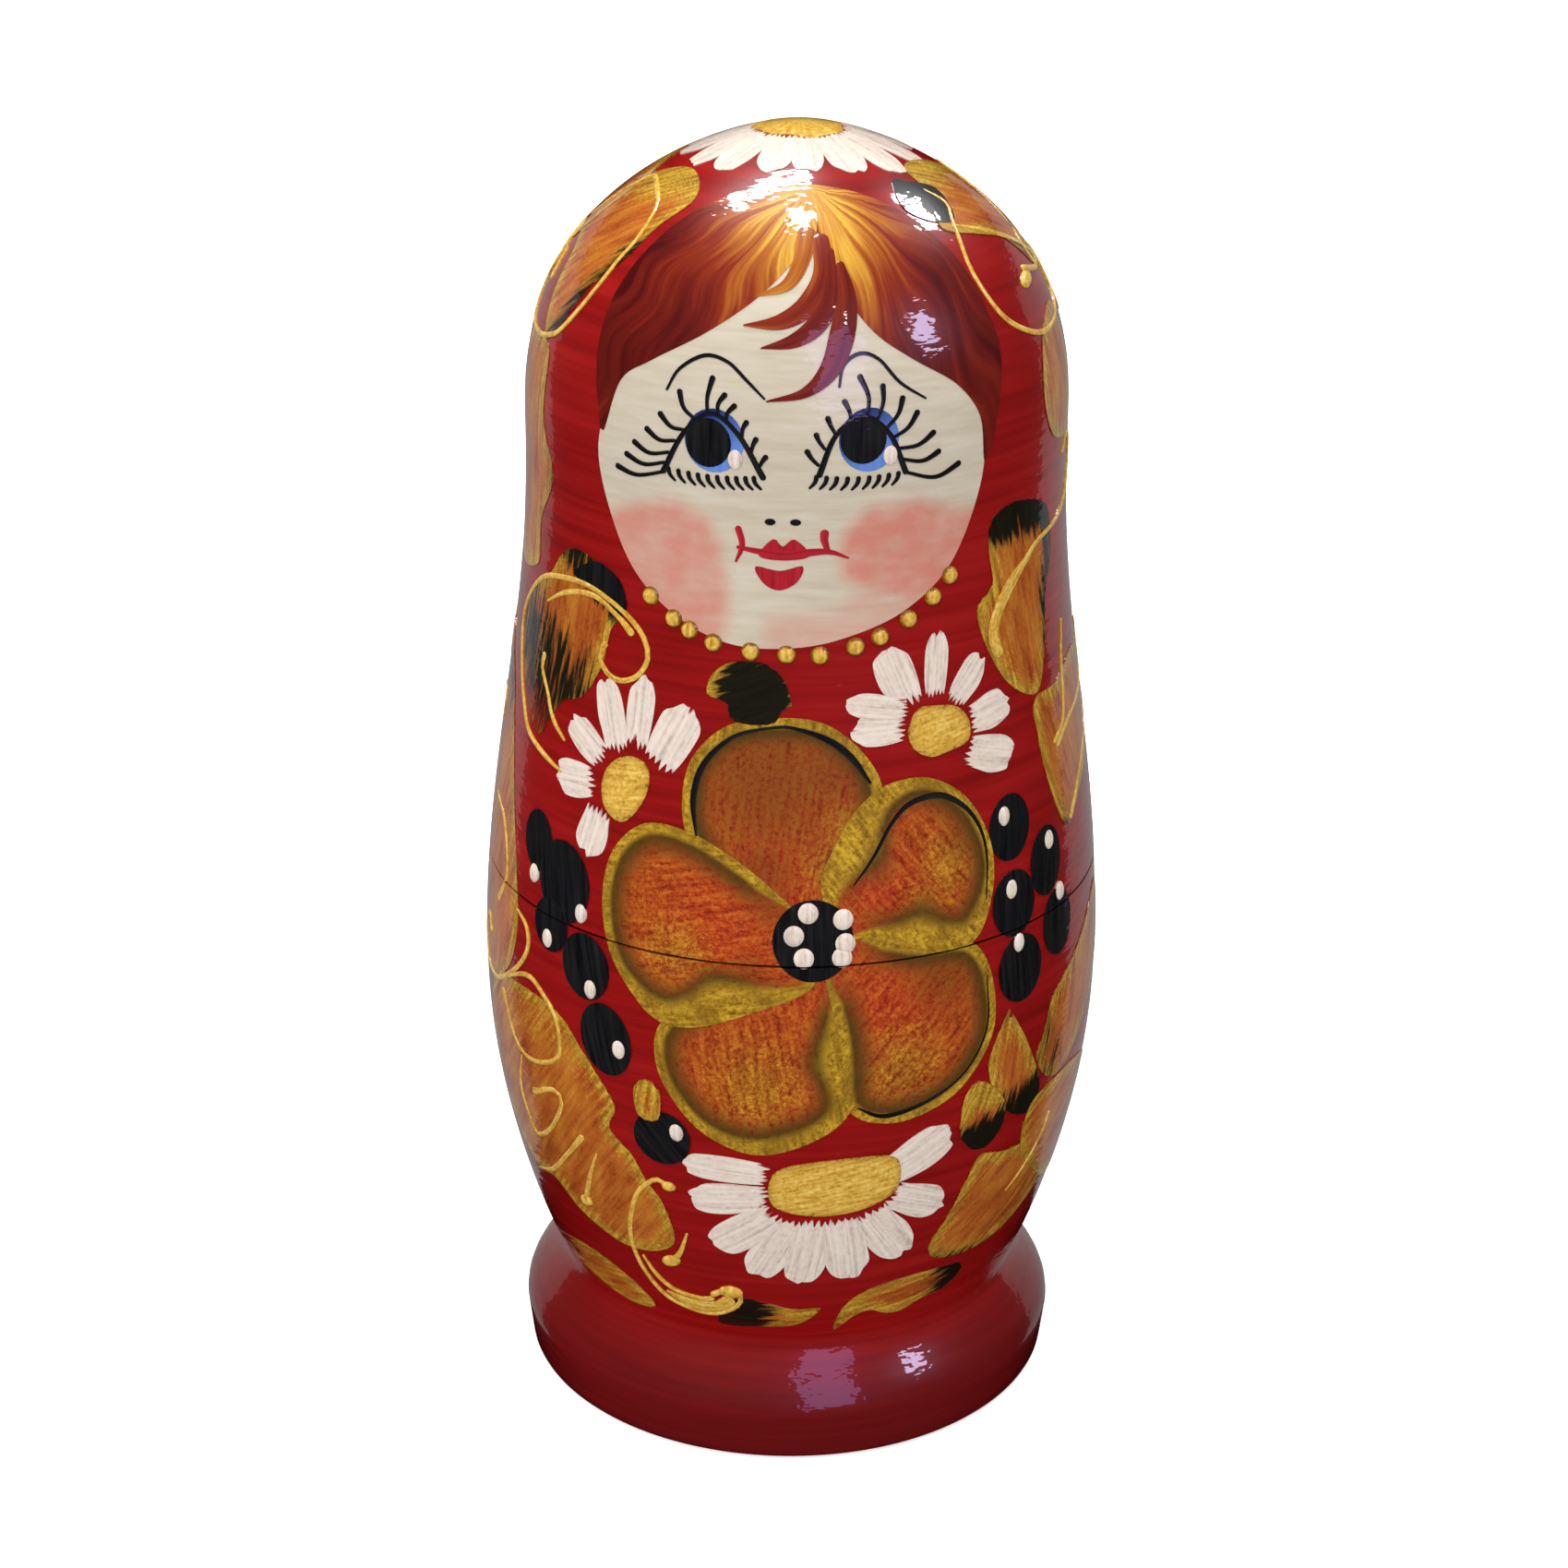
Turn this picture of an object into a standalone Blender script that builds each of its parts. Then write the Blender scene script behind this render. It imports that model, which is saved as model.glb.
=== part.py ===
"""A painted wooden nesting doll, turned from limewood.

Four hollow dolls stand one inside another, round a solid fifth. A hollow doll is two turned
shells that part at the waist: the lower shell ends in a thin spigot, and the upper shell has
a recess that slips over it. Every doll has the same outline, and each is NEST_RATIO of the
size of the doll round it.

Metres, +Z up. The origin is the centre of the largest doll's foot, and its face looks along -Y.
"""

import math

import bpy

MM = 0.001

# The nest.
NEST_RATIO = 0.73
SIDES = [48, 40, 32, 24, 24]  # flats round each doll, largest doll first

# The outline of the largest doll: heights above its foot, and radii, in millimetres.
HEIGHT = 170.0
FOOT_RADIUS = 36.5
FOOT_WIDEST = 6.2
FOOT_CHAMFER = 1.2
ANKLE_RADIUS = 31.4
ANKLE_HEIGHT = 16.0
BELLY_RADIUS = 40.9
BELLY_HEIGHT = 59.0
HEAD_RADIUS = 34.3
HEAD_HEIGHT = 131.0
CROWN_HEIGHT = 133.5
CHEST_DROP = 8.0  # from the widest of the head down to the first point of the chest
ANKLE_RISE = 6.0  # from the ankle up to the last point of the belly
BODY_FULLNESS = 0.84  # under 1 fills out the curve from ankle to belly
CROWN_POWERS = (2.5, 1.6)  # of a superellipse: square shoulders, and a slight point on top

# The joint at the waist, and the hollows of the largest doll.
SEAM_HEIGHT = 74.5
LIP = 2.2  # wall of the upper shell, outside the spigot
SPIGOT_HEIGHT = 9.0
SPIGOT_CHAMFER = 0.5
WAIST_WALL = 4.8  # lip, gap and spigot together
ANKLE_WALL = 3.8
UPPER_WALL = 4.6
FLOOR_HEIGHT = 9.0
CROWN_WALL = 9.0

# Gaps that a snug fit keeps, the same on every doll.
SPIGOT_GAP = 0.3
SEAM_GAP = 0.3
STANDING_GAP = 0.3  # under an inner doll's foot

MERGE_DISTANCE = 0.00001


def steps(start, end, count):
    """Evenly spaced values from start to end, both included."""
    return [start + (end - start) * i / (count - 1) for i in range(count)]


def outline_radius(height):
    """The largest doll's outer radius at a height between its ankle and its crown."""
    if height < BELLY_HEIGHT:
        rise = (height - ANKLE_HEIGHT) / (BELLY_HEIGHT - ANKLE_HEIGHT)
        swell = math.sin(rise * math.pi / 2) ** BODY_FULLNESS
        return ANKLE_RADIUS + (BELLY_RADIUS - ANKLE_RADIUS) * swell
    fall = min(1.0, (height - BELLY_HEIGHT) / (HEAD_HEIGHT - BELLY_HEIGHT))
    share = (1 + math.cos(fall * math.pi)) / 2
    return HEAD_RADIUS + (BELLY_RADIUS - HEAD_RADIUS) * share


def dome(radius, top, count):
    """A crown from its apex on the axis down to where it meets a wall of this radius."""
    points = []
    for turn in steps(math.pi / 2, 0, count):
        rise = math.sin(turn) ** (2 / CROWN_POWERS[0])
        out = 0 if turn == math.pi / 2 else math.cos(turn) ** (2 / CROWN_POWERS[1])
        points.append((radius * out, CROWN_HEIGHT + (top - CROWN_HEIGHT) * rise))
    return points


def chest(low, count):
    """The outer side from under the crown down to a height above the belly."""
    return [(outline_radius(z), z) for z in steps(HEAD_HEIGHT - CHEST_DROP, low, count)]


def foot():
    """The outer side from the ankle down to the flat of the foot, and in to the axis."""
    points = []
    for drop in steps(0, 1, 4):
        spread = (1 - math.cos(drop * math.pi)) / 2
        radius = ANKLE_RADIUS + (FOOT_RADIUS - ANKLE_RADIUS) * spread
        points.append((radius, ANKLE_HEIGHT + (FOOT_WIDEST - ANKLE_HEIGHT) * drop))
    edge = FOOT_RADIUS - FOOT_CHAMFER / 2
    return points + [(edge, FOOT_CHAMFER), (edge - FOOT_CHAMFER, 0), (0, 0)]


def belly(high, count):
    """The outer side from a height above the belly down to just over the ankle."""
    return [(outline_radius(z), z) for z in steps(high, ANKLE_HEIGHT + ANKLE_RISE, count)]


def upper_profile(scale):
    """Half section of an upper shell, from its crown down its outer side and up its hollow."""
    gap = SPIGOT_GAP / scale
    rim = SEAM_HEIGHT + SEAM_GAP / scale / 2
    waist = outline_radius(SEAM_HEIGHT)
    recess_top = SEAM_HEIGHT + SPIGOT_HEIGHT + 2 * gap
    outside = dome(HEAD_RADIUS, HEIGHT, 8) + chest(rim, 5)
    recess = [(waist - LIP, rim), (waist - LIP, recess_top)]
    wall = [(outline_radius(z) - UPPER_WALL, z) for z in steps(recess_top, HEAD_HEIGHT, 4)]
    hollow = dome(HEAD_RADIUS - UPPER_WALL, HEIGHT - CROWN_WALL, 5)
    return outside + recess + wall + hollow[::-1]


def lower_profile(scale):
    """Half section of a lower shell, from its floor up the hollow and down its outer side."""
    gap = SPIGOT_GAP / scale
    shoulder = SEAM_HEIGHT - SEAM_GAP / scale / 2
    waist = outline_radius(SEAM_HEIGHT)
    floor_radius = ANKLE_RADIUS - ANKLE_WALL
    spigot_inside = waist - WAIST_WALL
    spigot_outside = waist - LIP - gap
    spigot_top = SEAM_HEIGHT + SPIGOT_HEIGHT
    hollow = [(0, FLOOR_HEIGHT), (floor_radius, FLOOR_HEIGHT)]
    for rise in steps(0, 1, 5):
        swell = math.sin(rise * math.pi / 2) ** BODY_FULLNESS
        radius = floor_radius + (spigot_inside - floor_radius) * swell
        hollow.append((radius, ANKLE_HEIGHT + (BELLY_HEIGHT - ANKLE_HEIGHT) * rise))
    spigot = [
        (spigot_inside, spigot_top),
        (spigot_outside - SPIGOT_CHAMFER, spigot_top),
        (spigot_outside, spigot_top - SPIGOT_CHAMFER),
        (spigot_outside, shoulder),
    ]
    return hollow + spigot + belly(shoulder, 6) + foot()


def solid_profile():
    """Half section of the smallest doll, which doesn't open."""
    return dome(HEAD_RADIUS, HEIGHT, 8) + chest(SEAM_HEIGHT, 5) + belly(BELLY_HEIGHT, 4) + foot()


def lacquered_wood(name, colour):
    """Painted wood under a clear gloss lacquer."""
    material = bpy.data.materials.new(name)
    material.use_nodes = True
    shader = material.node_tree.nodes["Principled BSDF"]
    shader.inputs["Base Color"].default_value = (*colour, 1)
    shader.inputs["Roughness"].default_value = 0.22
    shader.inputs["Metallic"].default_value = 0
    return material


def turned(name, profile, scale, base, sides, collection, material):
    """A solid turned about +Z: the profile's (radius, height) pairs, scaled, standing at base."""
    mesh = bpy.data.meshes.new(name)
    corners = [(radius * scale * MM, 0, height * scale * MM) for radius, height in profile]
    last = len(corners) - 1
    edges = [(i, i + 1) for i in range(last)]
    mesh.from_pydata(corners, edges, [])
    mesh.materials.append(material)
    solid = bpy.data.objects.new(name, mesh)
    solid.location.z = base * MM
    collection.objects.link(solid)
    screw = solid.modifiers.new("Turning", "SCREW")
    screw.axis = "Z"
    screw.angle = 2 * math.pi
    screw.steps = sides
    screw.render_steps = sides
    screw.use_merge_vertices = True
    screw.merge_threshold = MERGE_DISTANCE
    screw.use_smooth_shade = True
    return solid


def build():
    for leftover in list(bpy.data.objects):
        bpy.data.objects.remove(leftover)
    nest = bpy.data.collections.new("nesting_doll")
    bpy.context.scene.collection.children.link(nest)
    red = lacquered_wood("red_lacquer", (0.42, 0.012, 0.016))
    hollow_dolls = len(SIDES) - 1
    base = 0.0
    for number, sides in enumerate(SIDES, 1):
        scale = NEST_RATIO ** (number - 1)
        if number > hollow_dolls:
            turned(f"doll_{number}_solid", solid_profile(), scale, base, sides, nest, red)
            break
        halves = {"upper": upper_profile(scale), "lower": lower_profile(scale)}
        for half, profile in halves.items():
            turned(f"doll_{number}_{half}", profile, scale, base, sides, nest, red)
        base += FLOOR_HEIGHT * scale + STANDING_GAP


build()
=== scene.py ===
"""Looks of the painted nesting doll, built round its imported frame.

Each CAD shell is replaced by two pieces: turned bare wood, and the red lacquered coat on its
outside. The decoration is thin films, raised strokes and dots of paint that follow the
surface. All painting is laid out on the largest doll, in millimetres and degrees, and each
smaller doll takes it scaled.

Places on a doll are (angle, height): degrees round from the middle of the face, positive to
the viewer's right, and millimetres above the foot. Shapes are (x, y) millimetres along the
surface from such a place, x to the right and y towards the crown.
"""

import math
import random

import bmesh
import bpy
import numpy as np
from mathutils import Matrix, Vector
from mathutils.geometry import delaunay_2d_cdt


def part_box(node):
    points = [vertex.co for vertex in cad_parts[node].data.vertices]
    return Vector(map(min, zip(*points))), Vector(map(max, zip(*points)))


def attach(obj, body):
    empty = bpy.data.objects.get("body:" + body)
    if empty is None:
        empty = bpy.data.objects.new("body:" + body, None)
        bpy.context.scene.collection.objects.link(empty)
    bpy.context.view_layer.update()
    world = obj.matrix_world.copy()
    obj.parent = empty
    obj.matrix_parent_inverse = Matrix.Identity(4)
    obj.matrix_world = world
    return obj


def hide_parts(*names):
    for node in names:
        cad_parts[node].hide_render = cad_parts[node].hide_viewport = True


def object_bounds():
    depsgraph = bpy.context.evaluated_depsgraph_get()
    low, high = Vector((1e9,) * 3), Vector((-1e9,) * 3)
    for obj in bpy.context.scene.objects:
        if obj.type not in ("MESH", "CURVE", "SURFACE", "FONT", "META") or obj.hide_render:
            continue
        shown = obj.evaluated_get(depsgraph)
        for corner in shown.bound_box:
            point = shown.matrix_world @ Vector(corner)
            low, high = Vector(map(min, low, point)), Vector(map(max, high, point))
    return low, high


MM = 0.001

# The outline of the largest doll, as turned: heights above its foot, and radii.
HEIGHT = 170.0
FOOT_RADIUS = 36.5
FOOT_WIDEST = 6.2
FOOT_ROUND = 1.2
ANKLE_RADIUS = 31.4
ANKLE_HEIGHT = 16.0
BELLY_RADIUS = 40.9
BELLY_HEIGHT = 59.0
HEAD_RADIUS = 34.3
HEAD_HEIGHT = 131.0
CROWN_HEIGHT = 133.5
BODY_FULLNESS = 0.84
CROWN_POWERS = (2.5, 1.6)

# The joint at the waist, and the hollows.
SEAM_HEIGHT = 74.5
SEAM_GAP = 0.3
LIP = 2.2
SPIGOT_GAP = 0.3
SPIGOT_HEIGHT = 9.0
SPIGOT_CHAMFER = 0.5
MOUTH_BEVEL = 0.3
FLOOR_BEVEL = 1.0
WAIST_WALL = 4.8
ANKLE_WALL = 3.8
UPPER_WALL = 4.6
FLOOR_HEIGHT = 9.0
CROWN_WALL = 9.0

# How finely things are made.
SEGMENTS = 160  # round the largest doll
FILM_CELL = 1.2
PATH_STEP = 0.5
TURNED_CREASE = 40  # degrees from which the edges of wood and coat are sharp
PAINT_CREASE = 50

# Where the coat's painted shade, a darker red towards the foot, begins and over what height it fades in,
# and the stain on the rims at the seam.
FOOT_SHADE_TOP = ANKLE_HEIGHT + 1.5
FOOT_SHADE_FADE = 9.0
STAIN_HEIGHT = 1.0
STAIN_DEPTH = 0.5

# The coat on the wood, and how far paint reaches down into the coat.
COAT_DEPTH = 0.10
WOOD_INSET = 0.05
SINK = 0.12
THINNEST = 0.04  # the least width of a stroke

# How high paint stands over the coat. What was painted later lies over what was there.
LIFTS = {
    "face": 0.05, "iris": 0.08, "pupil": 0.12, "lines": 0.14, "eye glint": 0.15, "mouth": 0.12,
    "left hair": 0.12, "right hair": 0.13, "wisps": 0.14, "necklace": 0.08, "leaves": 0.06,
    "leaf": 0.07, "scroll": 0.12, "scroll end": 0.13, "leaf spot": 0.13, "petals": 0.06,
    "petal line": 0.19, "flower heart": 0.24, "heart dots": 0.26, "daisy": 0.09,
    "daisy heart": 0.15, "crown heart": 0.14, "berry": 0.16, "berry dot": 0.2,
    "berry tip": 0.2, "over leaf": 0.1,
}
LIFT_STEP = 0.012  # between films of one kind that overlap

# A seed moves a brush's streaks along and across by these.
SEED_ALONG = 31
SEED_ACROSS = 17

# What the three tones of leaves and big petals are.
DARK, GOLD, RED = 0, 1, 2

DOLLS = 5
SOLID = 5
BACKS_PAINTED = 3
FIRST_SEED = 70

# The camera stands in front and above, and looks down at the doll.
CAMERA_PLACE = (0.0, -407.8, 253.1)
CAMERA_PITCH = 0.3975
CAMERA_YAW = -0.0028
CAMERA_ROLL = 0.0103
CAMERA_LENS = 76.5

# The floor, in metres: its half width, which puts its edge at the horizon, and its drop.
FLOOR_REACH = 80.0
FLOOR_DROP = 0.0002
FLOOR_GLOW = 0.55


# --- The outline -------------------------------------------------------------------------


def smooth_steps(start, end, count):
    """Evenly spaced values, both ends among them."""
    return [start + (end - start) * i / (count - 1) for i in range(count)]


def circle(sides):
    """Evenly spaced turns round a circle."""
    return [2 * math.pi * k / sides for k in range(sides)]


def outline_radius(height):
    """The outer radius between the ankle and the crown."""
    if height < BELLY_HEIGHT:
        rise = max(0.0, (height - ANKLE_HEIGHT) / (BELLY_HEIGHT - ANKLE_HEIGHT))
        swell = math.sin(rise * math.pi / 2) ** BODY_FULLNESS
        return ANKLE_RADIUS + (BELLY_RADIUS - ANKLE_RADIUS) * swell
    fall = min(1.0, (height - BELLY_HEIGHT) / (HEAD_HEIGHT - BELLY_HEIGHT))
    share = (1 + math.cos(fall * math.pi)) / 2
    return HEAD_RADIUS + (BELLY_RADIUS - HEAD_RADIUS) * share


def dome(radius, top, count):
    """A crown, from the wall up to the apex."""
    points = []
    for turn in smooth_steps(0.0, math.pi / 2, count):
        rise = max(0.0, math.sin(turn)) ** (2 / CROWN_POWERS[0])
        out = max(0.0, math.cos(turn)) ** (2 / CROWN_POWERS[1])
        points.append((radius * out, CROWN_HEIGHT + (top - CROWN_HEIGHT) * rise))
    points[-1] = (0.0, top)
    return points


def painted_line():
    """The outer side from the ankle to the apex, closely spaced."""
    side = [(outline_radius(z), z) for z in smooth_steps(ANKLE_HEIGHT, HEAD_HEIGHT, 240)]
    return side + dome(HEAD_RADIUS, HEIGHT, 200)


LINE = np.array(painted_line())
ARCS = np.concatenate([[0.0], np.cumsum(np.hypot(*np.diff(LINE, axis=0).T))])
ARC_TOP = float(ARCS[-1])


def arc_at(height):
    """How far up the side a height is."""
    return float(np.interp(height, LINE[:, 1], ARCS))


def surface(turn, arc, lift):
    """Points at turn (radians) and arc (mm up the side), raised by lift along the normal."""
    reach = 0.4  # over which the slope is taken
    low = np.clip(arc - reach, 0, ARC_TOP)
    high = np.clip(arc + reach, 0, ARC_TOP)
    run = np.interp(high, ARCS, LINE[:, 0]) - np.interp(low, ARCS, LINE[:, 0])
    rise = np.interp(high, ARCS, LINE[:, 1]) - np.interp(low, ARCS, LINE[:, 1])
    length = np.hypot(run, rise)
    radius = np.interp(arc, ARCS, LINE[:, 0]) + lift * rise / length
    height = np.interp(arc, ARCS, LINE[:, 1]) - lift * run / length
    return np.stack([radius * np.sin(turn), -radius * np.cos(turn), height], axis=-1)


class Chart:
    """A flat sheet of millimetres laid on the surface at a place."""

    def __init__(self, angle, height, tilt=0.0):
        self.turn = math.radians(angle)
        self.arc = arc_at(height)
        self.cos = math.cos(math.radians(tilt))
        self.sin = math.sin(math.radians(tilt))

    def lay(self, points):
        """(turn, arc) of each (x, y)."""
        flat = np.asarray(points, float)
        x = flat[:, 0] * self.cos - flat[:, 1] * self.sin
        y = flat[:, 0] * self.sin + flat[:, 1] * self.cos
        arc = np.clip(self.arc + y, 0.0, ARC_TOP - 0.5)
        return self.turn + x / np.interp(arc, ARCS, LINE[:, 0]), arc


class Crown:
    """Like Chart, with y as the distance down from the apex and x across it."""

    def __init__(self, angle):
        self.turn = math.radians(angle)

    def lay(self, points):
        flat = np.asarray(points, float)
        arc = np.clip(ARC_TOP - flat[:, 1], 0.0, ARC_TOP - 0.5)
        return self.turn + flat[:, 0] / np.interp(arc, ARCS, LINE[:, 0]), arc


class Round:
    """Points given as (angle, height), for long scrolls that go round the doll."""

    def lay(self, points):
        flat = np.asarray(points, float)
        return np.radians(flat[:, 0]), np.interp(flat[:, 1], LINE[:, 1], ARCS)


def flatten(places):
    """A chart at the middle of some (angle, height) places, and their (x, y) on it."""
    turn, arc = Round().lay(places)
    middle = float(np.interp(arc.mean(), ARCS, LINE[:, 1]))
    chart = Chart(math.degrees(turn.mean()), middle)
    x = (turn - chart.turn) * np.interp(arc, ARCS, LINE[:, 0])
    return chart, list(zip(x, arc - chart.arc))


# --- Curves ------------------------------------------------------------------------------


def catmull(points, closed, step=PATH_STEP):
    """A smooth line through the points. A point given twice makes a corner."""
    points = [np.asarray(p, float) for p in points]
    count = len(points)
    spans = count if closed else count - 1
    line = []
    for i in range(spans):
        if closed:
            a, b, c, d = (points[(i + k) % count] for k in (-1, 0, 1, 2))
        else:
            b, c = points[i], points[i + 1]
            a = points[i - 1] if i else 2 * b - c
            d = points[i + 2] if i + 2 < count else 2 * c - b
        parts = max(1, int(np.linalg.norm((c - b)[:2]) / step))
        for k in range(parts):
            t = k / parts
            line.append(
                0.5 * (2 * b + (c - a) * t + (2 * a - 5 * b + 4 * c - d) * t**2
                       + (3 * b - a - 3 * c + d) * t**3)
            )
    if not closed:
        line.append(points[-1])
    return np.array(line)


def ellipse(width, height, count=28):
    """Half width, half height."""
    return [(width * math.cos(t), height * math.sin(t)) for t in circle(count)]


def petal_outline(root, tip, width, rng):
    """A brushed petal from root to tip, with the brush's frayed hairs at its root."""
    run, rise = tip[0] - root[0], tip[1] - root[1]
    length = math.hypot(run, rise)
    ways = (run / length, rise / length)
    side = [
        (0.0, 0.38), (0.22, 0.45), (0.5, 0.51), (0.76, 0.49), (0.91, 0.36), (0.98, 0.20), (1.0, 0.05),
    ]
    local = []
    for way, steps in ((1, side), (-1, side[::-1])):
        for t, w in steps:
            wander = 0.45 if t > 0.9 else 0.1
            x = way * width * w + rng.uniform(-0.12, 0.12)
            local.append((x, length * t + rng.uniform(-wander, wander)))
    for k in range(9):
        tooth = rng.uniform(-0.7, 0.0) if k % 2 else rng.uniform(0.3, 0.9)
        local.append((width * 0.08 * (k - 4), tooth))
    return [
        (root[0] + x * ways[1] + y * ways[0], root[1] - x * ways[0] + y * ways[1]) for x, y in local
    ]


# --- Layers of paint ---------------------------------------------------------------------


def tube(rows, sides, pointed=False):
    """Faces of a closed tube: rows of sides points, and one more where its end is pointed."""
    faces = [tuple(range(sides))[::-1]]
    for first in range(0, (rows - 1) * sides, sides):
        for k in range(sides):
            a, b = first + k, first + (k + 1) % sides
            faces.append((a, b, b + sides, a + sides))
    last = [(rows - 1) * sides + k for k in range(sides)]
    if pointed:
        return faces + [(a, b, rows * sides) for a, b in zip(last, last[1:] + last[:1])]
    return faces + [tuple(last)]


class Layer:
    """One paint on one doll: vertices in largest-doll millimetres, and what the brush did."""

    def __init__(self):
        self.places, self.faces, self.brush, self.tone = [], [], [], []
        self.count = 0

    def add(self, places, faces, brush, tone):
        """Adds a closed solid. brush is along, across and a third measure; tone is three amounts."""
        self.faces += [tuple(i + self.count for i in face) for face in faces]
        self.places.append(places)
        self.brush.append(brush)
        self.tone.append(tone)
        self.count += len(places)

    def film(self, chart, outline, lift, tone=None, brushed=0.0, seed=0.0, cell=FILM_CELL,
             border=None):
        """A flat patch of paint.

        tone(x, y, edge) gives three amounts at each place, edge being millimetres from the
        rim. brushed is the brush's direction in degrees, or a function giving its (along,
        across). border(x, y) is the width of the rim's own colour.
        """
        rim = np.asarray(outline, float)
        low, high = rim.min(0), rim.max(0)
        clear = cell * 0.4  # how far inner points stay from the rim
        inside = []
        for row, y in enumerate(np.arange(low[1] + cell / 2, high[1], cell)):
            shift = cell / 2 if row % 2 else 0.0
            across = np.arange(low[0] + cell / 2 + shift, high[0], cell)
            places = np.stack([across, np.full(len(across), y)], axis=-1)
            if len(places):
                inside += [tuple(q) for q in places[edge_distance(places, rim) > clear]]
        points = [Vector(q) for q in rim] + [Vector(q) for q in inside]
        made = delaunay_2d_cdt(points, [], [list(range(len(rim)))], 1, 1e-5)
        flat = np.array([tuple(v) for v in made[0]])
        top = [tuple(face) for face in made[2]]
        uses = {(a, b) for face in top for a, b in zip(face, face[1:] + face[:1])}
        count = len(flat)
        bottom = [tuple(i + count for i in face[::-1]) for face in top]
        walls = [(b, a, a + count, b + count) for a, b in sorted(uses) if (b, a) not in uses]
        turn, arc = chart.lay(flat)
        places = np.vstack([surface(turn, arc, lift), surface(turn, arc, -SINK)])
        x, y = flat.T
        edge = np.maximum(edge_distance(flat, rim), 0.0)
        if callable(brushed):
            along, across = brushed(x, y)
        else:
            way = math.radians(brushed)
            along = x * math.sin(way) + y * math.cos(way)
            across = x * math.cos(way) - y * math.sin(way)
        ring = edge / (border(x, y) if border else 1.0)
        brush = np.stack([along + seed * SEED_ALONG, across + seed * SEED_ACROSS, ring], axis=-1)
        amounts = np.zeros((count, 3)) if tone is None else tone(x, y, edge)
        self.add(places, top + bottom + walls, np.vstack([brush] * 2), np.vstack([amounts] * 2))

    def stroke(self, chart, points, widths, lift, thick, seed=0.0, step=PATH_STEP, shade=0.0):
        """A raised brush stroke along points. The widths are spread evenly over the points."""
        spans, taper = len(points) - 1, len(widths) - 1
        table = [(*p, widths[round(i * taper / spans)]) for i, p in enumerate(points)]
        line = catmull(table, False, step)
        turn, arc = chart.lay(line[:, :2])
        radius = np.interp(arc, ARCS, LINE[:, 0])
        steps = np.hypot(np.diff(turn) * radius[1:], np.diff(arc))
        runs = np.concatenate([[0], np.cumsum(steps)])
        first, last = np.maximum(line[[0, -1], 2], THINNEST) / 2
        near = np.array([0.02, 0.15, 0.45, 0.8])  # where the rounded ends have rows
        stops = np.unique(np.concatenate([near * first, runs[1:-1], runs[-1] - near * last]))
        turn, arc, radius, wide = (
            np.interp(stops, runs, values) for values in (turn, arc, radius, line[:, 2])
        )
        ways = np.gradient(np.stack([turn * radius, arc], axis=-1), axis=0)
        ways /= np.maximum(np.linalg.norm(ways, axis=1), 1e-9)[:, None]
        normal = np.stack([-ways[:, 1], ways[:, 0]], axis=-1)
        half = np.maximum(wide, THINNEST) / 2
        for far, end in ((stops, first), (stops[-1] + 0.02 * last - stops, last)):
            half = half * np.sqrt(1 - (1 - np.clip(far / end, 0, 1)) ** 2)
        over, under = (-1.0, -0.6, 0.0, 0.6, 1.0), (1.0, -1.0)
        rows = []
        for place, side in enumerate(over + under):
            across = normal * (half * side)[:, None]
            bulge = lift + thick * math.sqrt(1 - side * side) * np.minimum(1, half)
            height = bulge if place < len(over) else -SINK
            rows.append(surface(turn + across[:, 0] / radius, arc + across[:, 1], height))
        length, around = len(stops), len(rows)
        spread = np.array(over + under)
        brush = np.zeros((length, around, 3))
        brush[:, :, 0] = stops[:, None] + seed * SEED_ALONG
        brush[:, :, 1] = half[:, None] * spread + seed * SEED_ACROSS
        brush[:, :, 2] = half[:, None] * (1 - np.abs(spread))
        tone = np.tile([float(shade), 0.0, 0.0], (length * around, 1))
        places = np.stack(rows, axis=1).reshape(-1, 3)
        self.add(places, tube(length, around), brush.reshape(-1, 3), tone)

    def bead(self, chart, wide, high, lift, thick, seed=0.0, rim=0.0, at=(0, 0)):
        """A raised drop of paint, by its half width and half height. rim darkens its foot."""
        rings, sides = 4, 20
        flat, raised = [], []
        for ring in range(rings + 1):
            share = 1 - ring / (rings + 0.35)
            flat += [(at[0] + x, at[1] + y) for x, y in ellipse(wide * share, high * share, sides)]
            raised += [lift + thick * math.sqrt(1 - share * share)] * sides
        local = np.array(flat[:sides] + flat)
        turn, arc = chart.lay(local)
        places = surface(turn, arc, np.array([-SINK] * sides + raised))
        brush = np.stack([local[:, 1] + seed * SEED_ALONG, local[:, 0] + seed * SEED_ACROSS,
                          np.ones(len(local))], axis=-1)
        dark = np.zeros((len(local), 3))
        dark[:2 * sides, 0] = rim
        dark[2 * sides:3 * sides, 0] = rim * 0.6
        self.add(places, tube(rings + 2, sides), brush, dark)

    def cap(self, radius, lift, sides=48, rings=8):
        """A round patch over the apex, its rim a little wavy."""
        places, brush = [], []
        for ring in range(rings + 1):
            down = max(0.5, radius * (1 - ring / rings))
            for t in circle(sides):
                wobble = 1 + 0.05 * math.sin(3 * t) + 0.04 * math.sin(7 * t)
                places.append((t, ARC_TOP - down * (wobble if ring < rings else 1)))
                brush.append((down, t * radius / 2, radius - down))
        turn, arc = np.array(places[:sides] + places).T
        height = np.array([-SINK] * sides + [lift] * len(places))
        places = np.vstack([surface(turn, arc, height), [[0.0, 0.0, HEIGHT + lift]]])
        marks = np.array(brush[:sides] + brush + brush[-1:])
        self.add(places, tube(rings + 2, sides, True), marks, np.zeros((len(marks), 3)))


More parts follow.
